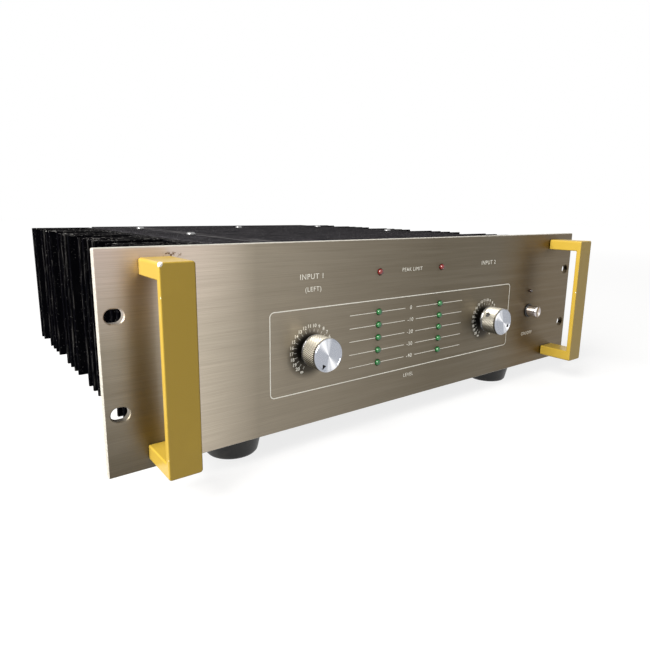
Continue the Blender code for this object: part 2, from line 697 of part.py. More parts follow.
def display_board(root, mat):
    """Circuit board that carries the lamps, on four spacers behind the panel."""
    half = DISPLAY_BOARD_WIDTH / 2
    back = BOARD_FRONT + BOARD_THICKNESS
    bm = bmesh.new()
    box(bm, (-half, BOARD_FRONT, DISPLAY_BOARD_BOTTOM), (half, back, DISPLAY_BOARD_TOP))
    obj = piece("display_board", bm, mat, parent=root)
    extras = bmesh.new()
    x = half - DISPLAY_BOARD_INSET
    for side in signs():
        for z in (DISPLAY_BOARD_BOTTOM + DISPLAY_BOARD_INSET, DISPLAY_BOARD_TOP - DISPLAY_BOARD_INSET):
            at = (side * x, 0.0, z)
            cylinder(extras, SPACER_RADIUS, BEHIND_PANEL, BOARD_FRONT + SEAT_GAP, SIDES_SMALL, "Y", at)
        chip = (side * half / 2 - CHIP_WIDTH / 2, back - SEAT_GAP, -CHIP_HEIGHT / 2)
        end = (side * half / 2 + CHIP_WIDTH / 2, back + CHIP_THICKNESS, CHIP_HEIGHT / 2)
        box(extras, chip, end)
    combine(obj, extras, "UNION")


def chassis_base(root, mat):
    """Folded steel base: floor under the heat sinks, a front box with a lip behind
    the panel, side walls and a bulkhead, and the cover's five threaded pillars."""
    rear = BODY_DEPTH - BASE_REAR_INSET
    bm = bmesh.new()
    prism(bm, stepped_outline(BASE_HALF_WIDTH, rear), BASE_BOTTOM, BASE_TOP)
    obj = piece("chassis_base", bm, mat, parent=root)
    root_z = BASE_TOP - BASE_THICKNESS / 2
    under_cover = COVER_UNDER - SEAT_GAP
    wide, inside = FRONT_BOX_HALF_WIDTH, FRONT_BOX_HALF_WIDTH - BULKHEAD_THICKNESS
    walls = bmesh.new()
    outline = [(-wide, BEHIND_PANEL), (-inside, BEHIND_PANEL), (-inside, BULKHEAD_FRONT), (inside, BULKHEAD_FRONT),
               (inside, BEHIND_PANEL), (wide, BEHIND_PANEL), (wide, BULKHEAD_BACK), (-wide, BULKHEAD_BACK)]
    prism(walls, outline, root_z, under_cover)
    for x, y in PILLAR_PLACES:
        cylinder(walls, PILLAR_RADIUS, root_z, under_cover, SIDES_SMALL, "Z", (x, y, 0.0))
    combine(obj, walls, "UNION")
    lip = bmesh.new()
    across = wide - BULKHEAD_THICKNESS / 2
    box(lip, (-across, BEHIND_PANEL, root_z), (across, BEHIND_PANEL + BASE_THICKNESS, BASE_TOP + BASE_FLANGE_HEIGHT))
    combine(obj, lip, "UNION")
    holes = bmesh.new()
    half = WINDOW_WIDTH / 2
    box(holes, (-half, BULKHEAD_FRONT - CUT_OVERRUN, -WINDOW_HEIGHT / 2),
        (half, BULKHEAD_BACK + CUT_OVERRUN, WINDOW_HEIGHT / 2))
    for x, y in PILLAR_PLACES:
        thread = COVER_SCREW_RADIUS + SEAT_GAP
        top = COVER_UNDER + CUT_OVERRUN
        cylinder(holes, thread, COVER_UNDER - PILLAR_THREAD_DEPTH, top, SIDES_SMALL, "Z", (x, y, 0.0))
    for x, y in foot_places():
        stud = FOOT_STUD_RADIUS + SEAT_GAP
        cylinder(holes, stud, BASE_BOTTOM - CUT_OVERRUN, BASE_TOP + CUT_OVERRUN, SIDES_SMALL, "Z", (x, y, 0.0))
    combine(obj, holes, "DIFFERENCE")
    smooth(obj)


def stepped_outline(half, rear):
    """Plan of the base or the cover: wide over the front box, narrower behind."""
    wide = FRONT_BOX_HALF_WIDTH
    return [(-wide, BEHIND_PANEL), (wide, BEHIND_PANEL), (wide, BULKHEAD_BACK), (half, BULKHEAD_BACK),
            (half, rear), (-half, rear), (-half, BULKHEAD_BACK), (-wide, BULKHEAD_BACK)]


def foot_places():
    half = FOOT_SPACING_X / 2
    return [(-half, FOOT_FRONT_Y), (half, FOOT_FRONT_Y), (-half, FOOT_REAR_Y), (half, FOOT_REAR_Y)]


def foot(name, x, y, root, mat):
    """Tapered rubber foot with a push-fit stud into the base."""
    top = BASE_BOTTOM - SEAT_GAP
    edge = FOOT_EDGE_RADIUS
    profile = [(0.0, GROUND), (FOOT_BOTTOM_RADIUS - edge, GROUND)]
    for i in range(1, ARC_STEPS + 1):
        a = math.pi / 2 * i / ARC_STEPS
        radius = FOOT_BOTTOM_RADIUS - edge + edge * math.sin(a)
        profile.append((radius, GROUND + edge - edge * math.cos(a)))
    profile += [(FOOT_TOP_RADIUS, top - edge), (FOOT_TOP_RADIUS, top), (FOOT_STUD_RADIUS, top),
                (FOOT_STUD_RADIUS, BASE_TOP), (0.0, BASE_TOP)]
    bm = bmesh.new()
    lathe(bm, profile, SIDES_MEDIUM, "Z")
    smooth(piece(name, bm, mat, (x, y, 0.0), root))


def fin_places():
    """Middles of the fins, counted from the rear end in groups of four."""
    places = [LAST_FIN_Y]
    start = LAST_FIN_Y - FIN_PITCH
    places.append(start)
    group = start - FIN_GROUP_PERIOD
    while group > SINK_FRONT + FIN_ROOT / 2:
        places += [group + FIN_PITCH * i for i in range(FINS_IN_GROUP)]
        group -= FIN_GROUP_PERIOD
    return sorted(places)


def heat_sink(name, side, root, mat):
    """Extruded heat sink: a thick plate with upright fins in groups of four."""
    web = SINK_INNER + SINK_PLATE
    tip = FIN_TIP / 2
    soft = FIN_TIP_CHAMFER
    outline = [(SINK_INNER, BODY_DEPTH), (SINK_INNER, SINK_FRONT), (web, SINK_FRONT)]
    for y in fin_places():
        outline += [(web, y - FIN_ROOT / 2), (SINK_OUTER - soft, y - tip), (SINK_OUTER, y - tip + soft),
                    (SINK_OUTER, y + tip - soft), (SINK_OUTER - soft, y + tip), (web, y + FIN_ROOT / 2)]
    bm = bmesh.new()
    prism(bm, [(side * x, y) for x, y in outline], SINK_BOTTOM, SINK_TOP)
    smooth(piece(name, bm, mat, parent=root), 30.0)


def rear_panel(root, mat):
    half = SINK_INNER - REAR_PANEL_SIDE_GAP
    bm = bmesh.new()
    box(bm, (-half, REAR_PANEL_FRONT, ON_BASE), (half, REAR_PANEL_BACK, COVER_UNDER - SEAT_GAP))
    obj = piece("rear_panel", bm, mat, parent=root)
    holes = bmesh.new()
    start, end = REAR_PANEL_FRONT - CUT_OVERRUN, REAR_PANEL_BACK + CUT_OVERRUN
    for x in input_places():
        cylinder(holes, SOCKET_BARREL_RADIUS + SEAT_GAP, start, end, SIDES_MEDIUM, "Y", (x, 0.0, INPUT_Z))
    block = (TERMINAL_BLOCK_WIDTH / 2 - TERMINAL_BLOCK_FLANGE, TERMINAL_BLOCK_HEIGHT / 2 - TERMINAL_BLOCK_FLANGE)
    rear_window(holes, TERMINAL_X, TERMINAL_Z, *block, start, end)
    rear_window(holes, INLET_X, INLET_Z, INLET_BODY_WIDTH / 2, INLET_BODY_HEIGHT / 2, start, end)
    combine(obj, holes, "DIFFERENCE")
    smooth(obj)


def rear_window(bm, x, z, half_width, half_height, start, end):
    """Cutter for a rectangular hole that clears a body by the seat gap."""
    wide, high = half_width + SEAT_GAP, half_height + SEAT_GAP
    box(bm, (x - wide, start, z - high), (x + wide, end, z + high))


def input_places():
    return [INPUT_X - INPUT_SPACING / 2, INPUT_X + INPUT_SPACING / 2]


def top_cover(root, mat):
    """Flat steel lid with short lips down both sides and at the back."""
    half = SINK_INNER - SEAT_GAP
    rear = REAR_PANEL_BACK + SEAT_GAP + COVER_THICKNESS
    bm = bmesh.new()
    prism(bm, stepped_outline(half, rear), COVER_UNDER, COVER_TOP)
    obj = piece("top_cover", bm, mat, parent=root)
    lips = bmesh.new()
    into = COVER_UNDER + COVER_THICKNESS / 2
    for side in signs():
        near, far = sorted((side * half, side * (half - COVER_THICKNESS)))
        end = rear - COVER_THICKNESS / 2
        box(lips, (near, SINK_FRONT, COVER_UNDER - COVER_SIDE_LIP), (far, end, into))
    combine(obj, lips, "UNION")
    back_lip = bmesh.new()
    box(back_lip, (-half, rear - COVER_THICKNESS, COVER_UNDER - COVER_LIP), (half, rear, into))
    combine(obj, back_lip, "UNION")
    holes = bmesh.new()
    for x, y in PILLAR_PLACES:
        hole = COVER_SCREW_RADIUS + SEAT_GAP
        span = (COVER_UNDER - CUT_OVERRUN, COVER_TOP + CUT_OVERRUN)
        cylinder(holes, hole, *span, SIDES_SMALL, "Z", (x, y, 0.0))
    combine(obj, holes, "DIFFERENCE")
    smooth(obj)


def cover_screw(name, x, y, root, mat):
    """Pan-head screw with a cross recess, down into its pillar."""
    seat = COVER_TOP + SEAT_GAP
    top = seat + COVER_SCREW_HEAD_HEIGHT
    head = COVER_SCREW_HEAD_RADIUS
    profile = [(0.0, seat - COVER_SCREW_LENGTH), (COVER_SCREW_RADIUS, seat - COVER_SCREW_LENGTH),
               (COVER_SCREW_RADIUS, seat), (head, seat)]
    for i in range(1, ARC_STEPS):
        a = math.pi / 2 * i / ARC_STEPS
        profile.append((head * math.cos(a * a), seat + COVER_SCREW_HEAD_HEIGHT * math.sin(a)))
    profile.append((0.0, top))
    bm = bmesh.new()
    lathe(bm, profile, SIDES_SMALL, "Z")
    obj = piece(name, bm, mat, (x, y, 0.0), root)
    cross = bmesh.new()
    wide, long = COVER_SCREW_CROSS_WIDTH / 2, COVER_SCREW_CROSS / 2
    floor, above = top - COVER_SCREW_CROSS_DEPTH, top + CUT_OVERRUN
    box(cross, (-wide, -long, floor), (wide, long, above))
    combine(obj, cross, "DIFFERENCE")
    other = bmesh.new()
    box(other, (-long, -wide, floor), (long, wide, above))
    combine(obj, other, "DIFFERENCE")
    smooth(obj)


def transformer(root, mat):
    """Ring-core mains transformer lying flat on the base."""
    bottom, top = ON_BASE, ON_BASE + TRANSFORMER_HEIGHT
    edge = TRANSFORMER_EDGE_RADIUS
    ring = []
    corners = [(TRANSFORMER_RADIUS - edge, bottom + edge, -90.0), (TRANSFORMER_RADIUS - edge, top - edge, 0.0),
               (TRANSFORMER_BORE + edge, top - edge, 90.0), (TRANSFORMER_BORE + edge, bottom + edge, 180.0)]
    for r, z, start in corners:
        for i in range(ARC_STEPS + 1):
            a = math.radians(start + 90.0 * i / ARC_STEPS)
            ring.append((r + edge * math.cos(a), z + edge * math.sin(a)))
    bm = bmesh.new()
    closed_ring(bm, ring, SIDES_LARGE)
    smooth(piece("mains_transformer", bm, mat, (0.0, TRANSFORMER_Y, 0.0), root))


def closed_ring(bm, section, sides):
    """Turn a closed (radius, height) section about Z into a ring."""
    loops = []
    for i in range(sides):
        a = math.tau * i / sides
        loops.append([bm.verts.new((r * math.cos(a), r * math.sin(a), z)) for r, z in section])
    for i in range(sides):
        near, far = loops[i], loops[(i + 1) % sides]
        for k in range(len(section)):
            m = (k + 1) % len(section)
            bm.faces.new((near[k], near[m], far[m], far[k]))


def transformer_clamp(root, mat):
    """Dished washer and centre bolt that hold the transformer to the base."""
    seat = ON_BASE + TRANSFORMER_HEIGHT + SEAT_GAP
    top = seat + CLAMP_THICKNESS
    head = top + CLAMP_BOLT_HEAD_HEIGHT
    profile = [(0.0, ON_BASE), (CLAMP_BOLT_RADIUS, ON_BASE), (CLAMP_BOLT_RADIUS, seat), (CLAMP_RADIUS, seat),
               (CLAMP_RADIUS, top), (CLAMP_BOLT_HEAD_RADIUS, top), (CLAMP_BOLT_HEAD_RADIUS, head), (0.0, head)]
    bm = bmesh.new()
    lathe(bm, profile, SIDES_MEDIUM, "Z")
    smooth(piece("transformer_clamp", bm, mat, (0.0, TRANSFORMER_Y, 0.0), root))


def capacitor(name, side, root, mat):
    """Smoothing capacitor standing on the base, with two screw terminals."""
    top = ON_BASE + CAPACITOR_HEIGHT
    bm = bmesh.new()
    lathe(bm, rounded_profile(CAPACITOR_RADIUS, ON_BASE, top, CAPACITOR_EDGE_RADIUS), SIDES_MEDIUM, "Z")
    obj = piece(name, bm, mat, (side * CAPACITOR_SPACING / 2, CAPACITOR_Y, 0.0), root)
    posts = bmesh.new()
    for way in signs():
        at = (0.0, way * CAPACITOR_TERMINAL_OFFSET, 0.0)
        reach = top + CAPACITOR_TERMINAL_HEIGHT
        cylinder(posts, CAPACITOR_TERMINAL_RADIUS, top - CAPACITOR_EDGE_RADIUS, reach, SIDES_SMALL, "Z", at)
    combine(obj, posts, "UNION")
    smooth(obj)


def bridge_rectifier(root, mat):
    """Square rectifier block on the base with four push-on tabs."""
    half = RECTIFIER_SIDE / 2
    top = ON_BASE + RECTIFIER_HEIGHT
    bm = bmesh.new()
    box(bm, (-half, -half, ON_BASE), (half, half, top))
    obj = piece("bridge_rectifier", bm, mat, (RECTIFIER_X, RECTIFIER_Y, 0.0), root)
    tabs = bmesh.new()
    for x in signs():
        for y in signs():
            cx, cy = x * RECTIFIER_TAB_OFFSET, y * RECTIFIER_TAB_OFFSET
            wide, thin = RECTIFIER_TAB_WIDTH / 2, RECTIFIER_TAB_THICKNESS / 2
            low = (cx - thin, cy - wide, top - RECTIFIER_TAB_THICKNESS)
            box(tabs, low, (cx + thin, cy + wide, top + RECTIFIER_TAB_HEIGHT))
    combine(obj, tabs, "UNION")


def amplifier_board(name, side, root, mat):
    """Upright amplifier board on four spacers along one heat sink."""
    near = SINK_INNER - AMP_BOARD_STANDOFF
    far = near - BOARD_THICKNESS
    rear = AMP_BOARD_FRONT_Y + AMP_BOARD_LENGTH
    bm = bmesh.new()
    sided_box(bm, side, far, near, AMP_BOARD_FRONT_Y, rear, AMP_BOARD_BOTTOM, AMP_BOARD_TOP)
    obj = piece(name, bm, mat, parent=root)
    extras = bmesh.new()
    for y in (AMP_BOARD_FRONT_Y + AMP_BOARD_INSET, rear - AMP_BOARD_INSET):
        for z in (AMP_BOARD_BOTTOM + AMP_BOARD_INSET, AMP_BOARD_TOP - AMP_BOARD_INSET):
            span = sorted((side * (near - SEAT_GAP), side * (SINK_INNER - SEAT_GAP)))
            cylinder(extras, SPACER_RADIUS, *span, SIDES_SMALL, "X", (0.0, y, z))
    middle = (COVER_SCREW_FRONT_Y + COVER_SCREW_REAR_Y) / 2
    start = middle - RELAY_WIDTH / 2
    sided_box(extras, side, far - RELAY_THICKNESS, far + SEAT_GAP, start, start + RELAY_WIDTH,
              -RELAY_HEIGHT / 2, RELAY_HEIGHT / 2)
    combine(obj, extras, "UNION")
    smooth(obj)


def sided_box(bm, side, x_near, x_far, y0, y1, z0, z1):
    """A box on one side of the middle, with its x mirrored when side is -1."""
    low, high = sorted((side * x_near, side * x_far))
    box(bm, (low, y0, z0), (high, y1, z1))


def flat_places():
    """Middles of the two flat lands between the fin groups in mid-length."""
    fins = fin_places()
    gaps = [((a + b) / 2) for a, b in zip(fins, fins[1:]) if b - a > 2 * FIN_PITCH]
    return gaps[1:3]


def output_transistor(name, side, y, root, mat):
    """Metal-can power transistor bolted flat to the inside of a heat sink."""
    seat = SINK_INNER - SEAT_GAP
    plate = seat - TRANSISTOR_PLATE
    outline = stadium(TRANSISTOR_LENGTH, TRANSISTOR_WIDTH, SIDES_SMALL // 2)
    bm = bmesh.new()
    loft(bm, [[(side * x, v, u) for u, v in outline] for x in (seat, plate)])
    obj = piece(name, bm, mat, (0.0, y, 0.0), root)
    can = bmesh.new()
    ends = sorted((side * (plate + SEAT_GAP), side * (plate - TRANSISTOR_CAN_HEIGHT)))
    cylinder(can, TRANSISTOR_CAN_RADIUS, *ends, SIDES_MEDIUM, "X")
    combine(obj, can, "UNION")
    smooth(obj)


def input_socket(name, x, root, mat):
    """Round socket: flange behind the rear panel, barrel through it, and a bore
    with three contact holes in its floor."""
    seat = REAR_PANEL_BACK + SEAT_GAP
    face = seat + SOCKET_FLANGE_THICKNESS
    wide, high = SOCKET_FLANGE_WIDTH / 2, SOCKET_FLANGE_HEIGHT / 2
    bm = bmesh.new()
    box(bm, (-wide, seat, -high), (wide, face, high))
    obj = piece(name, bm, mat, (x, 0.0, INPUT_Z), root)
    barrel = bmesh.new()
    cylinder(barrel, SOCKET_BARREL_RADIUS, face - SOCKET_BARREL_DEPTH, seat + SEAT_GAP, SIDES_MEDIUM)
    combine(obj, barrel, "UNION")
    floor = face - SOCKET_BORE_DEPTH
    bore = bmesh.new()
    cylinder(bore, SOCKET_BORE_RADIUS, floor, face + CUT_OVERRUN, SIDES_MEDIUM)
    combine(obj, bore, "DIFFERENCE")
    contacts = bmesh.new()
    for i in range(3):
        a = math.tau * (i / 3 + 1 / 4)
        at = (SOCKET_CONTACT_OFFSET * math.cos(a), 0.0, SOCKET_CONTACT_OFFSET * math.sin(a))
        cylinder(contacts, SOCKET_CONTACT_RADIUS, floor - SOCKET_CONTACT_DEPTH, floor + CUT_OVERRUN,
                 SIDES_SMALL // 2, "Y", at)
    combine(obj, contacts, "DIFFERENCE")
    smooth(obj, 30.0)


def terminal_places():
    first = -TERMINAL_PITCH * (TERMINAL_COUNT - 1) / 2
    return [first + TERMINAL_PITCH * i for i in range(TERMINAL_COUNT)]


def speaker_terminals(root, mat):
    """Moulded block with four round loudspeaker sockets, two to a channel."""
    seat = REAR_PANEL_BACK + SEAT_GAP
    face = seat + SOCKET_FLANGE_THICKNESS
    wide, high = TERMINAL_BLOCK_WIDTH / 2, TERMINAL_BLOCK_HEIGHT / 2
    bm = bmesh.new()
    box(bm, (-wide, seat, -high), (wide, face, high))
    obj = piece("speaker_terminal_block", bm, mat, (TERMINAL_X, 0.0, TERMINAL_Z), root)
    extras = bmesh.new()
    inner = TERMINAL_BLOCK_FLANGE
    box(extras, (-wide + inner, face - TERMINAL_BLOCK_DEPTH, -high + inner), (wide - inner, seat + SEAT_GAP, high - inner))
    rim = TERMINAL_BORE_RADIUS + TERMINAL_RIM
    for x in terminal_places():
        cylinder(extras, rim, face - SEAT_GAP, face + TERMINAL_RIM_REACH, SIDES_SMALL, "Y", (x, 0.0, 0.0))
    combine(obj, extras, "UNION")
    bores = bmesh.new()
    end = face + TERMINAL_RIM_REACH
    for x in terminal_places():
        start = end - TERMINAL_BORE_DEPTH
        cylinder(bores, TERMINAL_BORE_RADIUS, start, end + CUT_OVERRUN, SIDES_SMALL, "Y", (x, 0.0, 0.0))
    combine(obj, bores, "DIFFERENCE")
    smooth(obj, 30.0)


def mains_inlet(root, mat):
    """Mains inlet: flange, case through the rear panel, recess with three pins."""
    seat = REAR_PANEL_BACK + SEAT_GAP
    face = seat + INLET_FLANGE_THICKNESS
    wide, high = INLET_FLANGE_WIDTH / 2, INLET_FLANGE_HEIGHT / 2
    bm = bmesh.new()
    box(bm, (-wide, seat, -high), (wide, face, high))
    obj = piece("mains_inlet", bm, mat, (INLET_X, 0.0, INLET_Z), root)
    case = bmesh.new()
    wide, high = INLET_BODY_WIDTH / 2, INLET_BODY_HEIGHT / 2
    box(case, (-wide, face - INLET_BODY_DEPTH, -high), (wide, seat + SEAT_GAP, high))
    combine(obj, case, "UNION")
    floor = face - INLET_RECESS_DEPTH
    recess = bmesh.new()
    inset = INLET_WALL
    box(recess, (-wide + inset, floor, -high + inset), (wide - inset, face + CUT_OVERRUN, high - inset))
    combine(obj, recess, "DIFFERENCE")
    pins = bmesh.new()
    for i, z in ((-1, -INLET_PIN_HEIGHT / 2), (0, INLET_PIN_HEIGHT / 2), (1, -INLET_PIN_HEIGHT / 2)):
        x = i * INLET_PIN_PITCH
        low = (x - INLET_PIN_WIDTH / 2, floor - INLET_WALL / 2, z - INLET_PIN_HEIGHT / 2)
        box(pins, low, (x + INLET_PIN_WIDTH / 2, floor + INLET_PIN_LENGTH, z + INLET_PIN_HEIGHT / 2))
    combine(obj, pins, "UNION")


def level_turn(step):
    """Angle of a level knob's pointer at one of its steps, from the top."""
    return -LEVEL_SWEEP / 2 + LEVEL_SWEEP * step / (LEVEL_STEPS - 1)


def build():
    clear_scene()
    champagne = material("brushed panel", (0.56, 0.51, 0.45), 0.38, 0.9)
    yellow = material("yellow paint", (0.63, 0.44, 0.08), 0.45, 0.0)
    silver = material("turned aluminium", (0.74, 0.73, 0.70), 0.30, 1.0)
    black = material("black anodised", (0.020, 0.020, 0.022), 0.50, 0.3)
    sheet = material("black painted steel", (0.030, 0.030, 0.032), 0.55, 0.0)
    steel = material("zinc steel", (0.55, 0.56, 0.58), 0.40, 0.9)
    plastic = material("black plastic", (0.018, 0.018, 0.018), 0.45, 0.0)
    rubber = material("black rubber", (0.012, 0.012, 0.012), 0.75, 0.0)
    green = material("green lamp", (0.03, 0.36, 0.10), 0.25, 0.0)
    red = material("dark red lamp", (0.20, 0.02, 0.02), 0.25, 0.0)
    board = material("circuit board", (0.05, 0.19, 0.07), 0.55, 0.0)
    tape = material("transformer tape", (0.52, 0.40, 0.12), 0.50, 0.0)
    sleeve = material("capacitor sleeve", (0.03, 0.07, 0.20), 0.40, 0.0)

    root = empty("panel_centre", (0.0, PANEL_FACE_Y, PANEL_CENTRE_Z))
    front_panel(root, champagne)
    for side, word in ((-1.0, "left"), (1.0, "right")):
        handle("handle_" + word, side, root, yellow)
        for up, height in ((1.0, "upper"), (-1.0, "lower")):
            handle_screw("handle_screw_" + word + "_" + height, side, up, root, steel)
        heat_sink("heat_sink_" + word, side, root, black)
        amplifier_board("amplifier_board_" + word, side, root, board)
        for y, end in zip(flat_places(), ("front", "rear")):
            output_transistor("output_transistor_" + word + "_" + end, side, y, root, steel)

    for side, channel, step in ((-1.0, "1", CHANNEL_1_STEP), (1.0, "2", CHANNEL_2_STEP)):
        place = (side * LEVEL_SPACING / 2, 0.0, -LEVEL_BELOW_CENTRE)
        axis = empty("level_axis_channel_" + channel, place, root, level_turn(step))
        knob("level_knob_channel_" + channel, axis, silver)
        set_screw("knob_set_screw_channel_" + channel, axis, steel)
        level_shaft("level_shaft_channel_" + channel, axis, steel)
        level_control("level_control_channel_" + channel, side, root, plastic)
        for i, row in enumerate(led_rows()):
            name = "level_led_channel_" + channel + "_row_" + str(i + 1)
            lamp(name, LED_RADIUS, (side * LED_SPACING / 2, 0.0, row), root, green)
        at = (side * LED_SPACING / 2, 0.0, OVERLOAD_ABOVE_CENTRE)
        lamp("overload_led_channel_" + channel, LED_RADIUS, at, root, red)
        capacitor("smoothing_capacitor_" + channel, side, root, sleeve)

    button_axis = empty("power_button_axis", (BUTTON_RIGHT, 0.0, -BUTTON_BELOW_CENTRE), root)
    power_button(button_axis, silver)
    power_switch(root, plastic)
    lamp("power_led", POWER_LED_RADIUS, (BUTTON_RIGHT, 0.0, POWER_LED_ABOVE_CENTRE), root, red)
    display_board(root, board)

    chassis_base(root, steel)
    rear_panel(root, sheet)
    top_cover(root, sheet)
    for number, (x, y) in enumerate(PILLAR_PLACES, start=1):
        cover_screw("cover_screw_" + str(number), x, y, root, steel)
    for (x, y), word in zip(foot_places(), ("front_left", "front_right", "rear_left", "rear_right")):
        foot("foot_" + word, x, y, root, rubber)

    transformer(root, tape)
    transformer_clamp(root, steel)
    bridge_rectifier(root, plastic)
    for x, channel in zip(input_places(), ("1", "2")):
        input_socket("input_socket_channel_" + channel, x, root, plastic)
    speaker_terminals(root, plastic)
    mains_inlet(root, plastic)


build()
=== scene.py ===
"""Looks of a rack-mounting power amplifier with two channels.

It stands on its feet over the origin, +Z up, its front towards -Y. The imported
solids carry the sizes. Each section below dresses one piece or one group of
like pieces, in the order in which the amplifier is put together.
"""
import math

import bpy
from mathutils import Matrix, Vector


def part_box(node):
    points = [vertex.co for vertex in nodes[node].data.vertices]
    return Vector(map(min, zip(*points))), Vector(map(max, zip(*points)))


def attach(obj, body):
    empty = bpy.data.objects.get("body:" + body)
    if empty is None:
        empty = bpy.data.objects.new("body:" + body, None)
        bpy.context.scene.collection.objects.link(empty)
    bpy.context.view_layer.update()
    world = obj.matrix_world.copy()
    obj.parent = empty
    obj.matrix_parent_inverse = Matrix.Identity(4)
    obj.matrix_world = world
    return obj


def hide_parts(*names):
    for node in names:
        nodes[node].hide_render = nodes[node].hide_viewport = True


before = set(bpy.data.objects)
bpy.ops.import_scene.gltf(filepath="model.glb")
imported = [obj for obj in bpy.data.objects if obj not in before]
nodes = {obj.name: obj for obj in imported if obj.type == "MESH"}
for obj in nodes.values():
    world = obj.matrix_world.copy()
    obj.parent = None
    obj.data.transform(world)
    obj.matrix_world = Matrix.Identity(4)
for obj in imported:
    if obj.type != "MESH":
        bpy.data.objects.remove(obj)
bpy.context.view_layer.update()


# ---------------------------------------------------------------- studio
# A plain white floor under a pale surround. One broad soft lamp stands high on
# the left and a weak one low in front; the camera is where the photographer was.
scene = bpy.context.scene
scene.view_settings.view_transform = "Standard"

camera_data = bpy.data.cameras.new("camera")
camera_data.sensor_width = 36.0
camera_data.lens = 29.42
camera_data.shift_x = -0.0073
camera_data.shift_y = -0.0141
camera = bpy.data.objects.new("camera", camera_data)
camera.location = (-0.3118, -0.4799, 0.1721)
camera.rotation_euler = [math.radians(a) for a in (78.63, -0.754, -37.237)]
scene.collection.objects.link(camera)
scene.camera = camera


def add_lamp(name, place, aim, across, watts, colour):
    """A square soft lamp at a place, turned to face a point."""
    lamp = bpy.data.lights.new(name, "AREA")
    lamp.shape = "SQUARE"
    lamp.size = across
    lamp.energy = watts
    lamp.color = colour
    obj = bpy.data.objects.new(name, lamp)
    obj.location = place
    obj.rotation_euler = (Vector(aim) - Vector(place)).to_track_quat("-Z", "Y").to_euler()
    scene.collection.objects.link(obj)


add_lamp("lamp_high_left", (-1.75, -0.36, 1.30), (0.0, 0.0, 0.08), 1.5, 114.0, (1.0, 0.98, 0.94))
add_lamp("lamp_front", (0.62, -1.7, 0.50), (-0.15, -0.18, 0.08), 0.5, 1.4, (1.0, 0.98, 0.95))


def fill_inputs(tree, node, inputs):
    """Give each named or numbered input of a node its value or link."""
    for key, value in inputs.items():
        if isinstance(value, bpy.types.NodeSocket):
            tree.links.new(value, node.inputs[key])
        else:
            node.inputs[key].default_value = value


def add_node(tree, kind, inputs=None, **settings):
    """A shader node with its settings, and each input a value or a link."""
    made = tree.nodes.new(kind)
    for key, value in settings.items():
        setattr(made, key, value)
    fill_inputs(tree, made, inputs or {})
    return made


def maths(tree, first, second=0.0, operation="MULTIPLY"):
    return add_node(tree, "ShaderNodeMath", {0: first, 1: second}, operation=operation).outputs[0]


def vector_maths(tree, first, second, operation):
    return add_node(tree, "ShaderNodeVectorMath", {0: first, 1: second}, operation=operation).outputs[0]


def joined(tree, x, y, z):
    return add_node(tree, "ShaderNodeCombineXYZ", {0: x, 1: y, 2: z}).outputs[0]


def parted(tree, vector):
    return add_node(tree, "ShaderNodeSeparateXYZ", {0: vector}).outputs


def length(tree, vector):
    return add_node(tree, "ShaderNodeVectorMath", {0: vector}, operation="LENGTH").outputs["Value"]


def scaled(tree, value, low, high, start=0.0, end=1.0):
    """Map a value from start..end to low..high, held at the ends."""
    return add_node(tree, "ShaderNodeMapRange", {"Value": value, "From Min": start, "From Max": end,
                                                 "To Min": low, "To Max": high}).outputs[0]


def seen_rays(tree):
    """1 for rays from the camera, a mirror or glass, 0 for the rest."""
    path = add_node(tree, "ShaderNodeLightPath").outputs
    first = maths(tree, path["Is Camera Ray"], path["Is Glossy Ray"], "MAXIMUM")
    return maths(tree, first, path["Is Transmission Ray"], "MAXIMUM")


world = bpy.data.worlds.new("surround")
world.use_nodes = True
scene.world = world
air = world.node_tree
air.links.new(scaled(air, seen_rays(air), 0.05, 1.0), air.nodes["Background"].inputs["Strength"])
air.nodes["Background"].inputs["Color"].default_value = (1.0, 1.0, 1.0, 1.0)

bpy.ops.mesh.primitive_plane_add(size=12.0)
floor = bpy.context.active_object
floor.name = "floor"
paper = bpy.data.materials.new("white_paper")
paper.use_nodes = True
sheet = paper.node_tree
for old in list(sheet.nodes):
    sheet.nodes.remove(old)
diffuse = add_node(sheet, "ShaderNodeBsdfDiffuse", {"Color": (0.23, 0.23, 0.23, 1.0)})
spread = length(sheet, add_node(sheet, "ShaderNodeTexCoord").outputs["Object"])
glow_level = maths(sheet, seen_rays(sheet), scaled(sheet, spread, 0.81, 1.0, 0.55, 3.0))
glow = add_node(sheet, "ShaderNodeEmission", {"Strength": glow_level})
lit = add_node(sheet, "ShaderNodeAddShader", {0: diffuse.outputs[0], 1: glow.outputs[0]})
add_node(sheet, "ShaderNodeOutputMaterial", {"Surface": lit.outputs[0]})
floor.data.materials.append(paper)


# ---------------------------------------------------------------- chassis base
# Folded sheet steel in matte black paint, under everything. Its floor, front
# box and bulkhead show from below and in the gap behind the front panel.
def plain_material(name, colour, roughness, metallic=0.0, **sockets):
    """A Principled material in plain values, for later lines to wire patterns to."""
    made = bpy.data.materials.new(name)
    made.use_nodes = True
    shader = made.node_tree.nodes["Principled BSDF"]
    shader.inputs["Base Color"].default_value = (*colour, 1.0)
    shader.inputs["Roughness"].default_value = roughness
    shader.inputs["Metallic"].default_value = metallic
    for socket, value in sockets.items():
        shader.inputs[socket.replace("_", " ")].default_value = value
    return made


def wire(tree, value, socket):
    """Feed a value into a socket of a material's shader."""
    tree.links.new(value, tree.nodes["Principled BSDF"].inputs[socket])


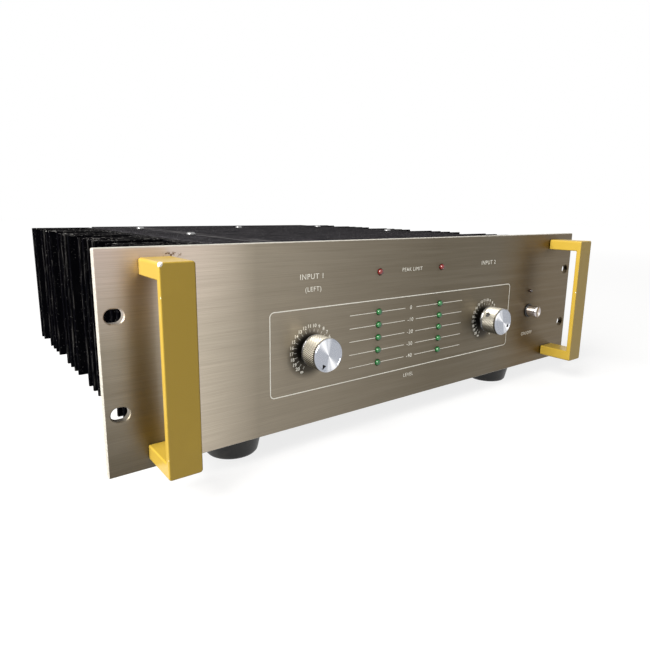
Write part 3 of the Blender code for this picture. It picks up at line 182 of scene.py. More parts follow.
def new_effect(name, inputs, outputs):
    """An empty node group with named sockets, and its input and output nodes."""
    tree = bpy.data.node_groups.new(name, "ShaderNodeTree")
    for label, kind, value in inputs:
        socket = tree.interface.new_socket(label, in_out="INPUT", socket_type=kind)
        socket.default_value = value
    for label, kind in outputs:
        tree.interface.new_socket(label, in_out="OUTPUT", socket_type=kind)
    return tree, tree.nodes.new("NodeGroupInput").outputs, tree.nodes.new("NodeGroupOutput")


def use_effect(tree, effect, **inputs):
    made = tree.nodes.new("ShaderNodeGroup")
    made.node_tree = effect
    fill_inputs(tree, made, inputs)
    return made.outputs


def noise(tree, place, scale, detail):
    return add_node(tree, "ShaderNodeTexNoise", {"Vector": place, "Scale": scale, "Detail": detail}).outputs["Fac"]


FLOAT, VECTOR = "NodeSocketFloat", "NodeSocketVector"

specks, given, result = new_effect("specks", [("Vector", VECTOR, (0, 0, 0)), ("Size", FLOAT, 0.002),
                                              ("Amount", FLOAT, 0.3), ("Softness", FLOAT, 0.05)], [("Mask", FLOAT)])
cloud = noise(specks, given["Vector"], maths(specks, 1.0, given["Size"], "DIVIDE"), 3.0)
edge = scaled(specks, given["Amount"], 0.80, 0.30)
shown = scaled(specks, cloud, 0.0, 1.0, edge, maths(specks, edge, given["Softness"], "ADD"))
specks.links.new(shown, result.inputs["Mask"])

streaks, given, result = new_effect("streaks", [("Vector", VECTOR, (0, 0, 0)), ("Along", FLOAT, 0.05),
                                                ("Across", FLOAT, 0.001)], [("Streak", FLOAT)])
parts = parted(streaks, given["Vector"])
divided = [maths(streaks, parts[i], given[way], "DIVIDE") for i, way in enumerate(("Along", "Across", "Across"))]
drawn = joined(streaks, *divided)
lines = add_node(streaks, "ShaderNodeTexNoise", {"Vector": drawn, "Scale": 1.0, "Detail": 4.0,
                                                 "Roughness": 0.65})
streaks.links.new(lines.outputs["Fac"], result.inputs["Streak"])


def blend_colours(tree, factor, first, second):
    """Mix two colours, each a value or a link, by a factor."""
    first, second = ((*c, 1.0) if isinstance(c, tuple) else c for c in (first, second))
    return add_node(tree, "ShaderNodeMix", {"Factor": factor, 6: first, 7: second}, data_type="RGBA").outputs[2]


def bumped(tree, height, distance, strength=1.0):
    bump = add_node(tree, "ShaderNodeBump", {"Height": height, "Distance": distance, "Strength": strength})
    wire(tree, bump.outputs[0], "Normal")


def object_place(tree):
    return add_node(tree, "ShaderNodeTexCoord").outputs["Object"]


def speckle(tree, place, size, amount, softness):
    """Where spots of a size lie: 1 on a spot, 0 between spots."""
    return use_effect(tree, specks, Vector=place, Size=size, Amount=amount, Softness=softness)["Mask"]


def streak(tree, place, along, across):
    """A value that runs in lines along X."""
    return use_effect(tree, streaks, Vector=place, Along=along, Across=across)["Streak"]


def paint_node(node, material):
    """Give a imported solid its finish."""
    solid = nodes[node]
    for holder in solid.material_slots:
        holder.material = material
    if not solid.material_slots:
        solid.data.materials.append(material)


def black_paint(name, dust_amount, dust_colour, sheen=0.0):
    """Matte black stoved paint with a fine grain, thin dust and small specks."""
    made = plain_material(name, (0.008, 0.008, 0.009), 0.6, Specular_IOR_Level=sheen)
    tree = made.node_tree
    place = object_place(tree)
    film = speckle(tree, place, 0.018, dust_amount, 0.55)
    spots = speckle(tree, place, 0.0015, dust_amount * 0.30, 0.04)
    grain = noise(tree, place, 2600.0, 2.0)
    thin = scaled(tree, film, 0.09, 0.25)
    dusty = blend_colours(tree, thin, (0.006, 0.006, 0.007), dust_colour)
    spotted = blend_colours(tree, spots, dusty, tuple(1.5 * c for c in dust_colour))
    wire(tree, spotted, "Base Color")
    wire(tree, scaled(tree, film, 0.50, 0.75), "Roughness")
    bumped(tree, grain, 0.00006)
    return made


chassis_paint = black_paint("chassis_paint", 0.30, (0.070, 0.066, 0.060))
paint_node("chassis_base", chassis_paint)


# ---------------------------------------------------------------- parts inside
# Ring-core transformer wound in amber tape, two sleeved capacitors, rectifier,
# green boards and metal-can transistors. The lid hides them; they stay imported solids.
tape = plain_material("amber_tape", (0.52, 0.40, 0.12), 0.42)
tree = tape.node_tree
turns = add_node(tree, "ShaderNodeTexWave", {"Vector": object_place(tree), "Scale": 28.0, "Distortion": 1.5},
                 wave_type="BANDS", bands_direction="DIAGONAL").outputs["Fac"]
wire(tree, blend_colours(tree, turns, (0.40, 0.29, 0.07), (0.60, 0.47, 0.16)), "Base Color")
paint_node("mains_transformer", tape)

sleeve = plain_material("capacitor_sleeve", (0.03, 0.07, 0.20), 0.35)
tree = sleeve.node_tree
mottle = speckle(tree, object_place(tree), 0.02, 0.5, 0.4)
wire(tree, scaled(tree, mottle, 0.28, 0.45), "Roughness")
for channel in ("1", "2"):
    paint_node("smoothing_capacitor_" + channel, sleeve)

board = plain_material("board_lacquer", (0.02, 0.13, 0.05), 0.35)
tree = board.node_tree
tracks = add_node(tree, "ShaderNodeTexBrick", {"Vector": object_place(tree), "Scale": 60.0, "Mortar Size": 0.03})
wire(tree, blend_colours(tree, tracks.outputs["Fac"], (0.02, 0.12, 0.05), (0.07, 0.24, 0.10)), "Base Color")
for node in ("amplifier_board_left", "amplifier_board_right", "display_board"):
    paint_node(node, board)


def plated_steel(name, colour, roughness):
    """Zinc-plated steel with a faint cloudy sheen and fine scratches."""
    made = plain_material(name, colour, roughness, 1.0)
    tree = made.node_tree
    place = object_place(tree)
    cloudy = speckle(tree, place, 0.004, 0.55, 0.35)
    scratch = streak(tree, place, 0.006, 0.00025)
    darker = tuple(0.6 * c for c in colour)
    wire(tree, blend_colours(tree, cloudy, colour, darker), "Base Color")
    wire(tree, scaled(tree, scratch, roughness - 0.10, roughness + 0.15, 0.3, 0.7), "Roughness")
    return made


zinc = plated_steel("zinc_plate", (0.62, 0.62, 0.60), 0.34)
for side in ("left", "right"):
    for end in ("front", "rear"):
        paint_node("output_transistor_" + side + "_" + end, zinc)
    for end in ("upper", "lower"):
        paint_node("handle_screw_" + side + "_" + end, zinc)
paint_node("transformer_clamp", zinc)


def black_moulding(name, roughness):
    """Black moulded plastic with the fine spark grain of its tool."""
    made = plain_material(name, (0.016, 0.016, 0.017), roughness, Specular_IOR_Level=0.45)
    tree = made.node_tree
    place = object_place(tree)
    grain = noise(tree, place, 3000.0, 2.0)
    dull = speckle(tree, place, 0.008, 0.5, 0.4)
    wire(tree, scaled(tree, dull, roughness, roughness + 0.15), "Roughness")
    wire(tree, blend_colours(tree, dull, (0.014, 0.014, 0.015), (0.026, 0.025, 0.024)), "Base Color")
    bumped(tree, grain, 0.00004)
    return made


moulding = black_moulding("black_moulding", 0.42)
for node in ("bridge_rectifier", "power_switch", "level_control_channel_1", "level_control_channel_2"):
    paint_node(node, moulding)


# ---------------------------------------------------------------- heat sinks
# Black anodised extrusions down both sides, fins upright in groups of four. The
# tips are scuffed, dust lies on the tops and the outer top corners are chipped.
anodised = plain_material("black_anodised", (0.003, 0.003, 0.004), 0.45, Specular_IOR_Level=0.0)
tree = anodised.node_tree
place = object_place(tree)
sink_low, sink_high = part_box("heat_sink_left")
axes = parted(tree, place)
out = maths(tree, axes[0], operation="ABSOLUTE")
at_tip = scaled(tree, out, 0.0, 1.0, -sink_low.x - 0.0020, -sink_low.x - 0.0008)
near_top = scaled(tree, axes[2], 0.0, 1.0, sink_high.z - 0.0008, sink_high.z - 0.0002)
upright = joined(tree, axes[2], axes[1], out)
drawn = streak(tree, upright, 0.022, 0.0016)
rub = maths(tree, at_tip, scaled(tree, drawn, 0.0, 0.12, 0.54, 0.66))
spots = speckle(tree, place, 0.0030, 0.44, 0.05)
outer = scaled(tree, out, 0.25, 1.0, -sink_low.x - 0.0140, -sink_low.x - 0.0060)
chips = maths(tree, near_top, maths(tree, spots, outer))
film = speckle(tree, upright, 0.02, 0.45, 0.3)
flecks = speckle(tree, place, 0.0016, 0.28, 0.03)
base = blend_colours(tree, maths(tree, film, 0.30), (0.002, 0.002, 0.003), (0.010, 0.010, 0.010))
settled = speckle(tree, place, 0.012, 0.85, 0.35)
base = blend_colours(tree, maths(tree, near_top, maths(tree, settled, 0.6)), base, (0.060, 0.058, 0.060))
base = blend_colours(tree, maths(tree, flecks, 0.4), base, (0.12, 0.115, 0.11))
base = blend_colours(tree, rub, base, (0.30, 0.29, 0.27))
base = blend_colours(tree, maths(tree, chips, 0.85), base, (0.50, 0.49, 0.47))
wire(tree, base, "Base Color")
wire(tree, scaled(tree, film, 0.34, 0.55), "Roughness")
lines = streak(tree, upright, 0.05, 0.0006)
bumped(tree, lines, 0.00005)
for side in ("left", "right"):
    paint_node("heat_sink_" + side, anodised)


# ---------------------------------------------------------------- rear panel
# Black painted sheet with plain numbers over the audio sockets, printed in
# off-white ink, and a figure for each pair of loudspeaker sockets.
def clear_selection():
    if bpy.context.object and bpy.context.object.mode != "OBJECT":
        bpy.ops.object.mode_set(mode="OBJECT")
    bpy.ops.object.select_all(action="DESELECT")


def pick(obj):
    """Make an object the only one selected, and the active one."""
    clear_selection()
    obj.select_set(True)
    bpy.context.view_layer.objects.active = obj


def settle(obj):
    """Put an object's place, turn and size into its mesh."""
    pick(obj)
    bpy.ops.object.transform_apply(location=True, rotation=True, scale=True)


def join_pieces(name, parts):
    clear_selection()
    for part in parts:
        part.select_set(True)
    bpy.context.view_layer.objects.active = parts[0]
    bpy.ops.object.join()
    made = bpy.context.active_object
    made.name = name
    return made


def printed(words, place, height, facing=0.0, spacing=1.0, weight=0.0):
    """Flat raised lettering, centred on a place; facing turns it about Z."""
    clear_selection()
    bpy.ops.object.text_add(location=place, rotation=(math.pi / 2, 0.0, facing))
    text = bpy.context.active_object
    text.data.body = words
    text.data.size = height / 0.72
    text.data.space_character = spacing
    text.data.align_x = "CENTER"
    text.data.align_y = "CENTER"
    text.data.extrude = 0.00002
    text.data.offset = weight
    text.data.resolution_u = 3
    bpy.ops.object.convert(target="MESH")
    settle(text)
    return text


rear_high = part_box("rear_panel")[1]
rear_paint = black_paint("rear_paint", 0.55, (0.060, 0.057, 0.054), 0.30)
paint_node("rear_panel", rear_paint)

ink = plain_material("off_white_ink", (0.62, 0.58, 0.50), 0.5, 0.45)
tree = ink.node_tree
worn = speckle(tree, object_place(tree), 0.0009, 0.45, 0.2)
wire(tree, blend_colours(tree, worn, (0.90, 0.88, 0.80), (0.72, 0.68, 0.58)), "Base Color")

figures = []
figure_y, figure_rise, figure_height = rear_high.y + 0.00001, 0.005, 0.0042
for figure, node in (("1", "input_socket_channel_1"), ("2", "input_socket_channel_2")):
    low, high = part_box(node)
    place = ((low.x + high.x) / 2, figure_y, high.z + figure_rise)
    figures.append(printed(figure, place, figure_height, math.pi))
low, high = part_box("speaker_terminal_block")
for figure, share in (("1", 0.27), ("2", 0.73)):
    place = (low.x + (high.x - low.x) * share, figure_y, high.z + figure_rise)
    figures.append(printed(figure, place, figure_height, math.pi))
rear_print = join_pieces("rear_print", figures)
rear_print.data.materials.append(ink)
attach(rear_print, "amplifier")


# ---------------------------------------------------------------- sockets at the rear
# Moulded round audio sockets, a block of four loudspeaker sockets with coloured
# rims, and a mains inlet with three bright pins. All are screwed to the rear panel.
def edit(obj):
    pick(obj)
    bpy.ops.object.mode_set(mode="EDIT")
    bpy.ops.mesh.select_mode(type="VERT")


def select_where(obj, test):
    """In edit mode, leave selected only the corners whose place passes a test."""
    bpy.ops.mesh.select_all(action="DESELECT")
    bpy.ops.object.mode_set(mode="OBJECT")
    for corner in obj.data.vertices:
        corner.select = test(corner.co)
    bpy.ops.object.mode_set(mode="EDIT")


def smooth(obj, degrees=35.0, weighted=False):
    pick(obj)
    bpy.ops.object.shade_smooth_by_angle(angle=math.radians(degrees))
    if weighted:
        even = obj.modifiers.new("even", "WEIGHTED_NORMAL")
        even.keep_sharp = True
        bpy.ops.object.modifier_apply(modifier=even.name)


def block(name, low, high):
    """A plain box between two corners, its place in its mesh."""
    clear_selection()
    low, high = Vector(low), Vector(high)
    bpy.ops.mesh.primitive_cube_add(size=1.0, location=(low + high) / 2, scale=high - low)
    made = bpy.context.active_object
    made.name = name
    settle(made)
    return made


def turned(name, stations, sides, base, toward):
    """A round piece drawn up from a disc: (radius, height) rings along toward."""
    clear_selection()
    base, toward = Vector(base), Vector(toward)
    radius, height = stations[0]
    facing = toward.to_track_quat("Z", "Y").to_euler()
    bpy.ops.mesh.primitive_circle_add(vertices=sides, radius=radius, fill_type="NGON",
                                      location=base + toward * height, rotation=facing)
    made = bpy.context.active_object
    made.name = name
    settle(made)
    edit(made)
    bpy.ops.mesh.select_all(action="SELECT")
    for wider, further in stations[1:]:
        bpy.ops.mesh.extrude_region_move(TRANSFORM_OT_translate={"value": toward * (further - height)})
        if wider != radius:
            share = wider / radius
            bpy.ops.transform.resize(value=(share, share, share), center_override=base + toward * further)
        radius, height = wider, further
    bpy.ops.mesh.select_all(action="SELECT")
    bpy.ops.mesh.normals_make_consistent(inside=False)
    bpy.ops.object.mode_set(mode="OBJECT")
    return made


def cut(obj, tool, operation="DIFFERENCE"):
    """Apply an exact Boolean and clear its tool away."""
    pick(obj)
    change = obj.modifiers.new("change", "BOOLEAN")
    change.operation = operation
    change.solver = "EXACT"
    change.object = tool
    bpy.ops.object.modifier_apply(modifier=change.name)
    bpy.data.objects.remove(tool, do_unlink=True)


def soften(obj, width, segments=3, degrees=30.0):
    """Round every sharp edge."""
    pick(obj)
    round_off = obj.modifiers.new("round", "BEVEL")
    round_off.width = width
    round_off.segments = segments
    round_off.limit_method = "ANGLE"
    round_off.angle_limit = math.radians(degrees)
    bpy.ops.object.modifier_apply(modifier=round_off.name)


def dress(obj, material, *hidden):
    """Give a finished piece its material and hide the solids that it stands for."""
    obj.data.materials.clear()
    obj.data.materials.append(material)
    if hidden:
        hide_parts(*hidden)


def middle_of(low, high):
    """The middle of a box as x and z."""
    return (low.x + high.x) / 2, (low.z + high.z) / 2


socket_black = black_moulding("socket_moulding", 0.36)
BACK = Vector((0.0, 1.0, 0.0))
for channel in ("1", "2"):
    low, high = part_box("input_socket_channel_" + channel)
    middle = (low + high) / 2
    centre_z = middle.z
    flange = block("input_socket_" + channel, (low.x, rear_high.y + 0.0003, low.z), high)
    barrel = turned("barrel", [(0.0110, 0.0), (0.0110, 0.0178)], 48, (middle.x, low.y, centre_z), BACK)
    cut(flange, barrel, "UNION")
    cut(flange, turned("bore", [(0.0078, 0.0), (0.0078, 0.030)], 48, (middle.x, high.y - 0.013, centre_z), BACK))
    for turn in (90.0, 210.0, 330.0):
        a = math.radians(turn)
        hole = (middle.x + 0.0040 * math.cos(a), high.y - 0.018, centre_z + 0.0040 * math.sin(a))
        cut(flange, turned("contact", [(0.0012, 0.0), (0.0012, 0.02)], 20, hole, BACK))
    key = block("key", (middle.x - 0.0012, high.y - 0.012, centre_z - 0.0090),
                (middle.x + 0.0012, high.y - 0.001, centre_z - 0.0070))
    cut(flange, key, "UNION")
    soften(flange, 0.00035, 2)
    smooth(flange, 35.0, True)
    dress(flange, socket_black, "input_socket_channel_" + channel)
    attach(flange, "amplifier")

low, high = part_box("speaker_terminal_block")
block_x, block_z = middle_of(low, high)
flange_back = rear_high.y + 0.0028
terminals = block("speaker_sockets", (low.x, rear_high.y + 0.0003, low.z), (high.x, flange_back, high.z))
inner = block("inner", (low.x + 0.004, low.y, low.z + 0.004),
              (high.x - 0.004, rear_high.y + 0.0010, high.z - 0.004))
cut(terminals, inner, "UNION")
terminal_places = [block_x + 0.019 * (i - 1.5) for i in range(4)]
for x in terminal_places:
    cut(terminals, turned("bore", [(0.0050, 0.0), (0.0050, 0.05)], 40, (x, high.y - 0.0130, block_z), BACK))
soften(terminals, 0.0005, 2)
smooth(terminals, 35.0, True)
dress(terminals, socket_black, "speaker_terminal_block")
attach(terminals, "amplifier")

rim_red = plain_material("rim_red", (0.30, 0.02, 0.015), 0.30, Coat_Weight=0.3)
tree = rim_red.node_tree
dull = speckle(tree, object_place(tree), 0.003, 0.5, 0.3)
wire(tree, scaled(tree, dull, 0.25, 0.45), "Roughness")
for number, x in enumerate(terminal_places, start=1):
    rim = turned("speaker_rim_" + str(number), [(0.0050, 0.0), (0.0050, 0.0152), (0.0048, 0.0155)], 40,
                 (x, high.y - 0.0155, block_z), BACK)
    cut(rim, turned("bore", [(0.0036, 0.0), (0.0036, 0.05)], 40, (x, high.y - 0.0130, block_z), BACK))
    smooth(rim, 35.0)
    dress(rim, rim_red if number % 2 else socket_black)
    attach(rim, "amplifier")

low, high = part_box("mains_inlet")
inlet_x, inlet_z = middle_of(low, high)
inlet = block("inlet_housing", (low.x, rear_high.y + 0.0003, low.z), high)
case = block("case", (inlet_x - 0.015, low.y, inlet_z - 0.011),
             (inlet_x + 0.015, rear_high.y + 0.0010, inlet_z + 0.011))
cut(inlet, case, "UNION")
recess = block("recess", (inlet_x - 0.0125, high.y - 0.017, inlet_z - 0.0085),
               (inlet_x + 0.0125, high.y + 0.01, inlet_z + 0.0085))
soften(recess, 0.0020, 3)
cut(inlet, recess)
soften(inlet, 0.0004, 2)
smooth(inlet, 35.0, True)
dress(inlet, socket_black, "mains_inlet")
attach(inlet, "amplifier")

nickel = plated_steel("nickel_plate", (0.72, 0.70, 0.66), 0.22)
for number, (x, z) in enumerate(((-0.0065, -0.0019), (0.0, 0.0019), (0.0065, -0.0019)), start=1):
    pin = block("inlet_pin_" + str(number), (inlet_x + x - 0.0009, high.y - 0.0172, inlet_z + z - 0.0019),
                (inlet_x + x + 0.0009, high.y - 0.0110, inlet_z + z + 0.0019))
    soften(pin, 0.0003, 2)
    smooth(pin, 35.0, True)
    dress(pin, nickel)
    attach(pin, "amplifier")


# ---------------------------------------------------------------- top cover
# Flat folded lid between the heat sinks, in matte black paint. Dust lies on it in
# a thin film and specks, and a scuffed line runs along its left edge.
cover_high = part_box("top_cover")[1]
cover_paint = black_paint("cover_paint", 0.90, (0.170, 0.163, 0.180))
tree = cover_paint.node_tree
place = object_place(tree)
axes = parted(tree, place)
lengthwise = joined(tree, axes[1], axes[0], axes[2])
smears = streak(tree, lengthwise, 0.10, 0.006)
aside = maths(tree, axes[0], -0.108, "SUBTRACT")
apart = maths(tree, aside, operation="ABSOLUTE")
wiped = maths(tree, scaled(tree, apart, 1.0, 0.0, 0.001, 0.012), scaled(tree, smears, 0.0, 1.0, 0.45, 0.65))
before = tree.nodes["Principled BSDF"].inputs["Base Color"].links[0].from_socket
streaked = blend_colours(tree, maths(tree, wiped, 0.8), before, (0.17, 0.165, 0.17))
flecks = speckle(tree, place, 0.0022, 0.24, 0.03)
wire(tree, blend_colours(tree, maths(tree, flecks, 0.7), streaked, (0.30, 0.29, 0.27)), "Base Color")
paint_node("top_cover", cover_paint)


# ---------------------------------------------------------------- cover screws
# Zinc-plated pan-head screws with a cross recess, one at each threaded pillar.
dull_steel = plated_steel("dull_steel", (0.30, 0.30, 0.30), 0.34)
for number in range(1, 6):
    node = "cover_screw_" + str(number)
    low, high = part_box(node)
    x, y = (low.x + high.x) / 2, (low.y + high.y) / 2
    seat = cover_high.z + 0.0003
    head = turned("pan_head_" + str(number),
                  [(0.0018, -0.0060), (0.0018, 0.0), (0.0038, 0.0), (0.0039, 0.0004), (0.0037, 0.0012),
                   (0.0031, 0.0018), (0.0020, 0.0022), (0.0008, high.z - seat)], 40, (x, y, seat), (0, 0, 1))
    for turn in (20.0 * number, 20.0 * number + 90.0):
        slot = block("slot", (-0.0005, -0.0017, high.z - 0.0012), (0.0005, 0.0017, high.z + 0.002))
        slot.rotation_euler.z = math.radians(turn)
        slot.location = (x, y, 0.0)
        settle(slot)
        cut(head, slot)
    smooth(head, 40.0)
    dress(head, dull_steel, node)
    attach(head, "amplifier")


# ---------------------------------------------------------------- feet
# Tapered black rubber feet, pushed into the base from below, their lower
# edges rounded and their sides a little greyed with handling.
rubber = plain_material("black_rubber", (0.020, 0.020, 0.020), 0.55, Specular_IOR_Level=0.4)
tree = rubber.node_tree
place = object_place(tree)
greyed = speckle(tree, place, 0.012, 0.5, 0.35)
wire(tree, blend_colours(tree, greyed, (0.026, 0.025, 0.024), (0.150, 0.142, 0.125)), "Base Color")
wire(tree, scaled(tree, greyed, 0.42, 0.70), "Roughness")
pores = noise(tree, place, 1800.0, 3.0)
bumped(tree, pores, 0.00008)
for corner in ("front_left", "front_right", "rear_left", "rear_right"):
    node = "foot_" + corner
    low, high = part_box(node)
    x, y = (low.x + high.x) / 2, (low.y + high.y) / 2
    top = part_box("chassis_base")[0].z - 0.0003
    foot = turned("rubber_foot_" + corner,
                  [(0.0050, 0.0024), (0.0060, 0.0), (0.0162, 0.0), (0.0175, 0.0004), (0.0184, 0.0014),
                   (0.0188, 0.0026), (0.0217, top - 0.0022), (0.0220, top - 0.0012), (0.0218, top - 0.0004),
                   (0.0212, top), (0.0040, top), (0.0040, high.z)], 64, (x, y, 0.0), (0, 0, 1))
    smooth(foot, 40.0)
    dress(foot, rubber, node)
    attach(foot, "amplifier")


# ---------------------------------------------------------------- front panel
# Thick aluminium plate, brushed along its length and anodised pale champagne.
# It is milled for the rack slots, lamps, controls and button, its edges broken.
FRONT = Vector((0.0, -1.0, 0.0))
panel_low, panel_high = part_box("front_panel")
face_y = panel_low.y
panel = block("front_plate", panel_low, panel_high)
soften(panel, 0.0009, 3)
centre_z = (panel_low.z + panel_high.z) / 2
cutters = []


def bore_panel(x, z, stations, sides=40):
    """Add a cutter whose stations are measured forward from the panel's back."""
    cutters.append(turned("bore", stations, sides, (x, panel_high.y, z), FRONT))
    return cutters[-1]


slot_x, slot_rise, slot_reach = 0.23255, 0.028575, 0.0011
for x in (-slot_x, slot_x):
    for z in (centre_z - slot_rise, centre_z + slot_rise):
        slot = bore_panel(x, z, [(0.0042, -0.001), (0.0042, 0.0044), (0.0048, 0.0050), (0.0048, 0.0060)], 48)
        for direction in (-1, 1):
            edit(slot)
            select_where(slot, lambda p: direction * (p.x - x) > 1e-6)
            bpy.ops.transform.translate(value=(direction * slot_reach, 0.0, 0.0))
            bpy.ops.object.mode_set(mode="OBJECT")
for side in ("left", "right"):
    for end in ("upper", "lower"):
        x, z = middle_of(*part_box("handle_screw_" + side + "_" + end))
        bore_panel(x, z, [(0.0057, -0.001), (0.0057, 0.0), (0.0030, 0.0028), (0.0030, 0.006)])
for channel in ("1", "2"):
    x, z = middle_of(*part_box("level_shaft_channel_" + channel))
    bore_panel(x, z, [(0.0048, -0.001), (0.0048, 0.006)])
lamp_nodes = ["overload_led_channel_" + c for c in ("1", "2")]
lamp_nodes += ["level_led_channel_" + c + "_row_" + str(row) for c in ("1", "2") for row in range(1, 6)]
for node in lamp_nodes:
    x, z = middle_of(*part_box(node))
    bore_panel(x, z, [(0.00262, -0.001), (0.00262, 0.0048), (0.00285, 0.0050), (0.00285, 0.006)])
x, z = middle_of(*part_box("power_led"))
bore_panel(x, z, [(0.0016, -0.001), (0.0016, 0.006)])
button_low, button_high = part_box("power_button")
button_x, button_z = middle_of(button_low, button_high)
bore_panel(button_x, button_z, [(0.0064, -0.001), (0.0064, 0.006)], 48)
cut(panel, join_pieces("cutters", cutters))
smooth(panel, 30.0, True)

brushed = plain_material("brushed_champagne", (0.25, 0.22, 0.17), 0.40, 1.0, Anisotropic=0.78)
tree = brushed.node_tree
place = object_place(tree)
axes = parted(tree, place)
fine = streak(tree, place, 0.050, 0.00035)
broad = streak(tree, place, 0.180, 0.0040)
# Painted light: the colour runs from light at the left end to darker at the right, a painted falloff of the lamp's
# reflection.
across = scaled(tree, axes[0], 0.0, 1.0, -0.20, 0.03)
base = blend_colours(tree, across, (0.30, 0.262, 0.205), (0.145, 0.122, 0.087))
# A painted highlight: a lighter upright band near the left end.
painted_highlight_band = maths(tree, maths(tree, axes[0], 0.195, "ADD"), operation="ABSOLUTE")
base = blend_colours(tree, scaled(tree, painted_highlight_band, 1.0, 0.0, 0.008, 0.052), base, (0.52, 0.455, 0.365))
# A painted reflection of the yellow handle warms the right end.
painted_handle_reflection = scaled(tree, axes[0], 0.0, 0.8, 0.110, 0.160)
base = blend_colours(tree, painted_handle_reflection, base, (0.150, 0.108, 0.058))
# Painted shade darkens the lower left end; a painted highlight lightens the upper left end.
painted_shade_lower_left = maths(tree, scaled(tree, axes[0], 1.0, 0.0, -0.215, -0.190),
                    scaled(tree, axes[2], 1.0, 0.0, panel_low.z, centre_z + 0.030))
painted_highlight_upper_left = maths(tree, scaled(tree, axes[0], 1.0, 0.0, -0.215, -0.150),
                    scaled(tree, axes[2], 0.0, 1.0, centre_z + 0.010, panel_high.z))
base = blend_colours(tree, maths(tree, painted_shade_lower_left, 0.95), base, (0.090, 0.074, 0.050))
base = blend_colours(tree, maths(tree, painted_highlight_upper_left, 0.9), base, (0.60, 0.49, 0.43))
base = blend_colours(tree, scaled(tree, fine, 0.0, 0.22, 0.35, 0.70), base, (0.09, 0.076, 0.054))
base = blend_colours(tree, scaled(tree, broad, 0.0, 0.06, 0.45, 0.65), base, (0.45, 0.41, 0.34))
dial_x, dial_z = 0.099, centre_z - 0.0104


def dial_place(tree, axes):
    """Places measured from the middle of the nearer dial, level with the panel."""
    sign = maths(tree, axes[0], operation="SIGN")
    aside = maths(tree, axes[0], maths(tree, sign, dial_x), "SUBTRACT")
    above = maths(tree, axes[2], dial_z, "SUBTRACT")
    return joined(tree, aside, 0.0, above)


# A painted shadow: a dark patch round each knob, off to its lower left, stands for the knob's shadow and dark
# reflection on the panel.
beside = vector_maths(tree, dial_place(tree, axes), (0.0030, 0.0, 0.0030), "ADD")
round_dial = length(tree, beside)
painted_knob_shadow = scaled(tree, round_dial, 0.80, 0.0, 0.0120, 0.0185)
base = blend_colours(tree, painted_knob_shadow, base, (0.016, 0.015, 0.013))
worn = speckle(tree, place, 0.0016, 0.56, 0.04)
handle_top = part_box("handle_left")[1].z
above = maths(tree, scaled(tree, axes[2], 1.0, 0.0, handle_top + 0.0014, handle_top + 0.0026),
                scaled(tree, axes[2], 0.0, 1.0, handle_top - 0.0010, handle_top))
corner = maths(tree, above, maths(tree, scaled(tree, axes[0], 0.0, 1.0, -0.204, -0.202),
                                      scaled(tree, axes[0], 1.0, 0.0, -0.194, -0.192)))
base = blend_colours(tree, maths(tree, worn, corner), base, (0.15, 0.09, 0.05))
wire(tree, base, "Base Color")
wire(tree, scaled(tree, fine, 0.36, 0.48, 0.35, 0.65), "Roughness")
upright = joined(tree, 0.0, 0.0, 1.0)
wire(tree, upright, "Tangent")
bumped(tree, fine, 0.00002, 0.5)
dress(panel, brushed, "front_panel")

raw_edge = plain_material("raw_edge", (0.55, 0.52, 0.46), 0.5, 0.3)
tree = raw_edge.node_tree
sawn = streak(tree, object_place(tree), 0.004, 0.0012)
sawn = scaled(tree, sawn, 0.0, 1.0, 0.35, 0.65)
wire(tree, blend_colours(tree, sawn, (0.44, 0.415, 0.36), (0.62, 0.59, 0.53)), "Base Color")
panel.data.materials.append(raw_edge)
for face in panel.data.polygons:
    inset = min(face.center.x - panel_low.x, panel_high.x - face.center.x,
                face.center.z - panel_low.z, panel_high.z - face.center.z)
    if abs(face.normal.y) < 0.9 and inset < 0.0015:
        face.material_index = 1
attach(panel, "amplifier")


# ---------------------------------------------------------------- panel print
# Screen print in off-white ink: an outline, five level lines with numbers, two
# numbered dials and short plain words for what each part does.
prints = []
ink_y, ink_front, ink_back = face_y - 0.00001, face_y - 0.00003, face_y + 0.0002
half_line, wide = 0.00022, 1.12

clear_selection()
outline_low, outline_high = centre_z - 0.0409, centre_z + 0.0201
bpy.ops.mesh.primitive_plane_add(size=1.0, location=(0.0, ink_back, (outline_low + outline_high) / 2),
                                 rotation=(math.pi / 2, 0.0, 0.0), scale=(1.0, 1.0, 1.0))
outline = bpy.context.active_object
outline.scale = (0.2691, outline_high - outline_low, 1.0)
outline.location.x = 0.0007
settle(outline)
edit(outline)
bpy.ops.mesh.select_all(action="SELECT")
bpy.ops.mesh.bevel(offset=0.0036, segments=8, affect="VERTICES")
bpy.ops.mesh.select_mode(type="FACE")
bpy.ops.mesh.select_all(action="SELECT")
bpy.ops.mesh.inset(thickness=0.0007)
bpy.ops.mesh.delete(type="FACE")
bpy.ops.mesh.select_all(action="SELECT")
bpy.ops.mesh.extrude_region_move(TRANSFORM_OT_translate={"value": (0.0, -0.00023, 0.0)})
bpy.ops.mesh.select_all(action="SELECT")
bpy.ops.mesh.normals_make_consistent(inside=False)
bpy.ops.object.mode_set(mode="OBJECT")
prints.append(outline)

for row in range(1, 6):
    z = middle_of(*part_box("level_led_channel_1_row_" + str(row)))[1]
    prints.append(printed(("0", "-10", "-20", "-30", "-40")[row - 1], (0.0, ink_y, z), 0.0034, 0.0, wide))
    for side in (-1, 1):
        for near, far in ((0.0065, 0.0321), (0.0381, 0.0644)):
            ends = sorted((side * near, side * far))
            prints.append(block("bar", (ends[0], ink_front, z - half_line), (ends[1], ink_back, z + half_line)))

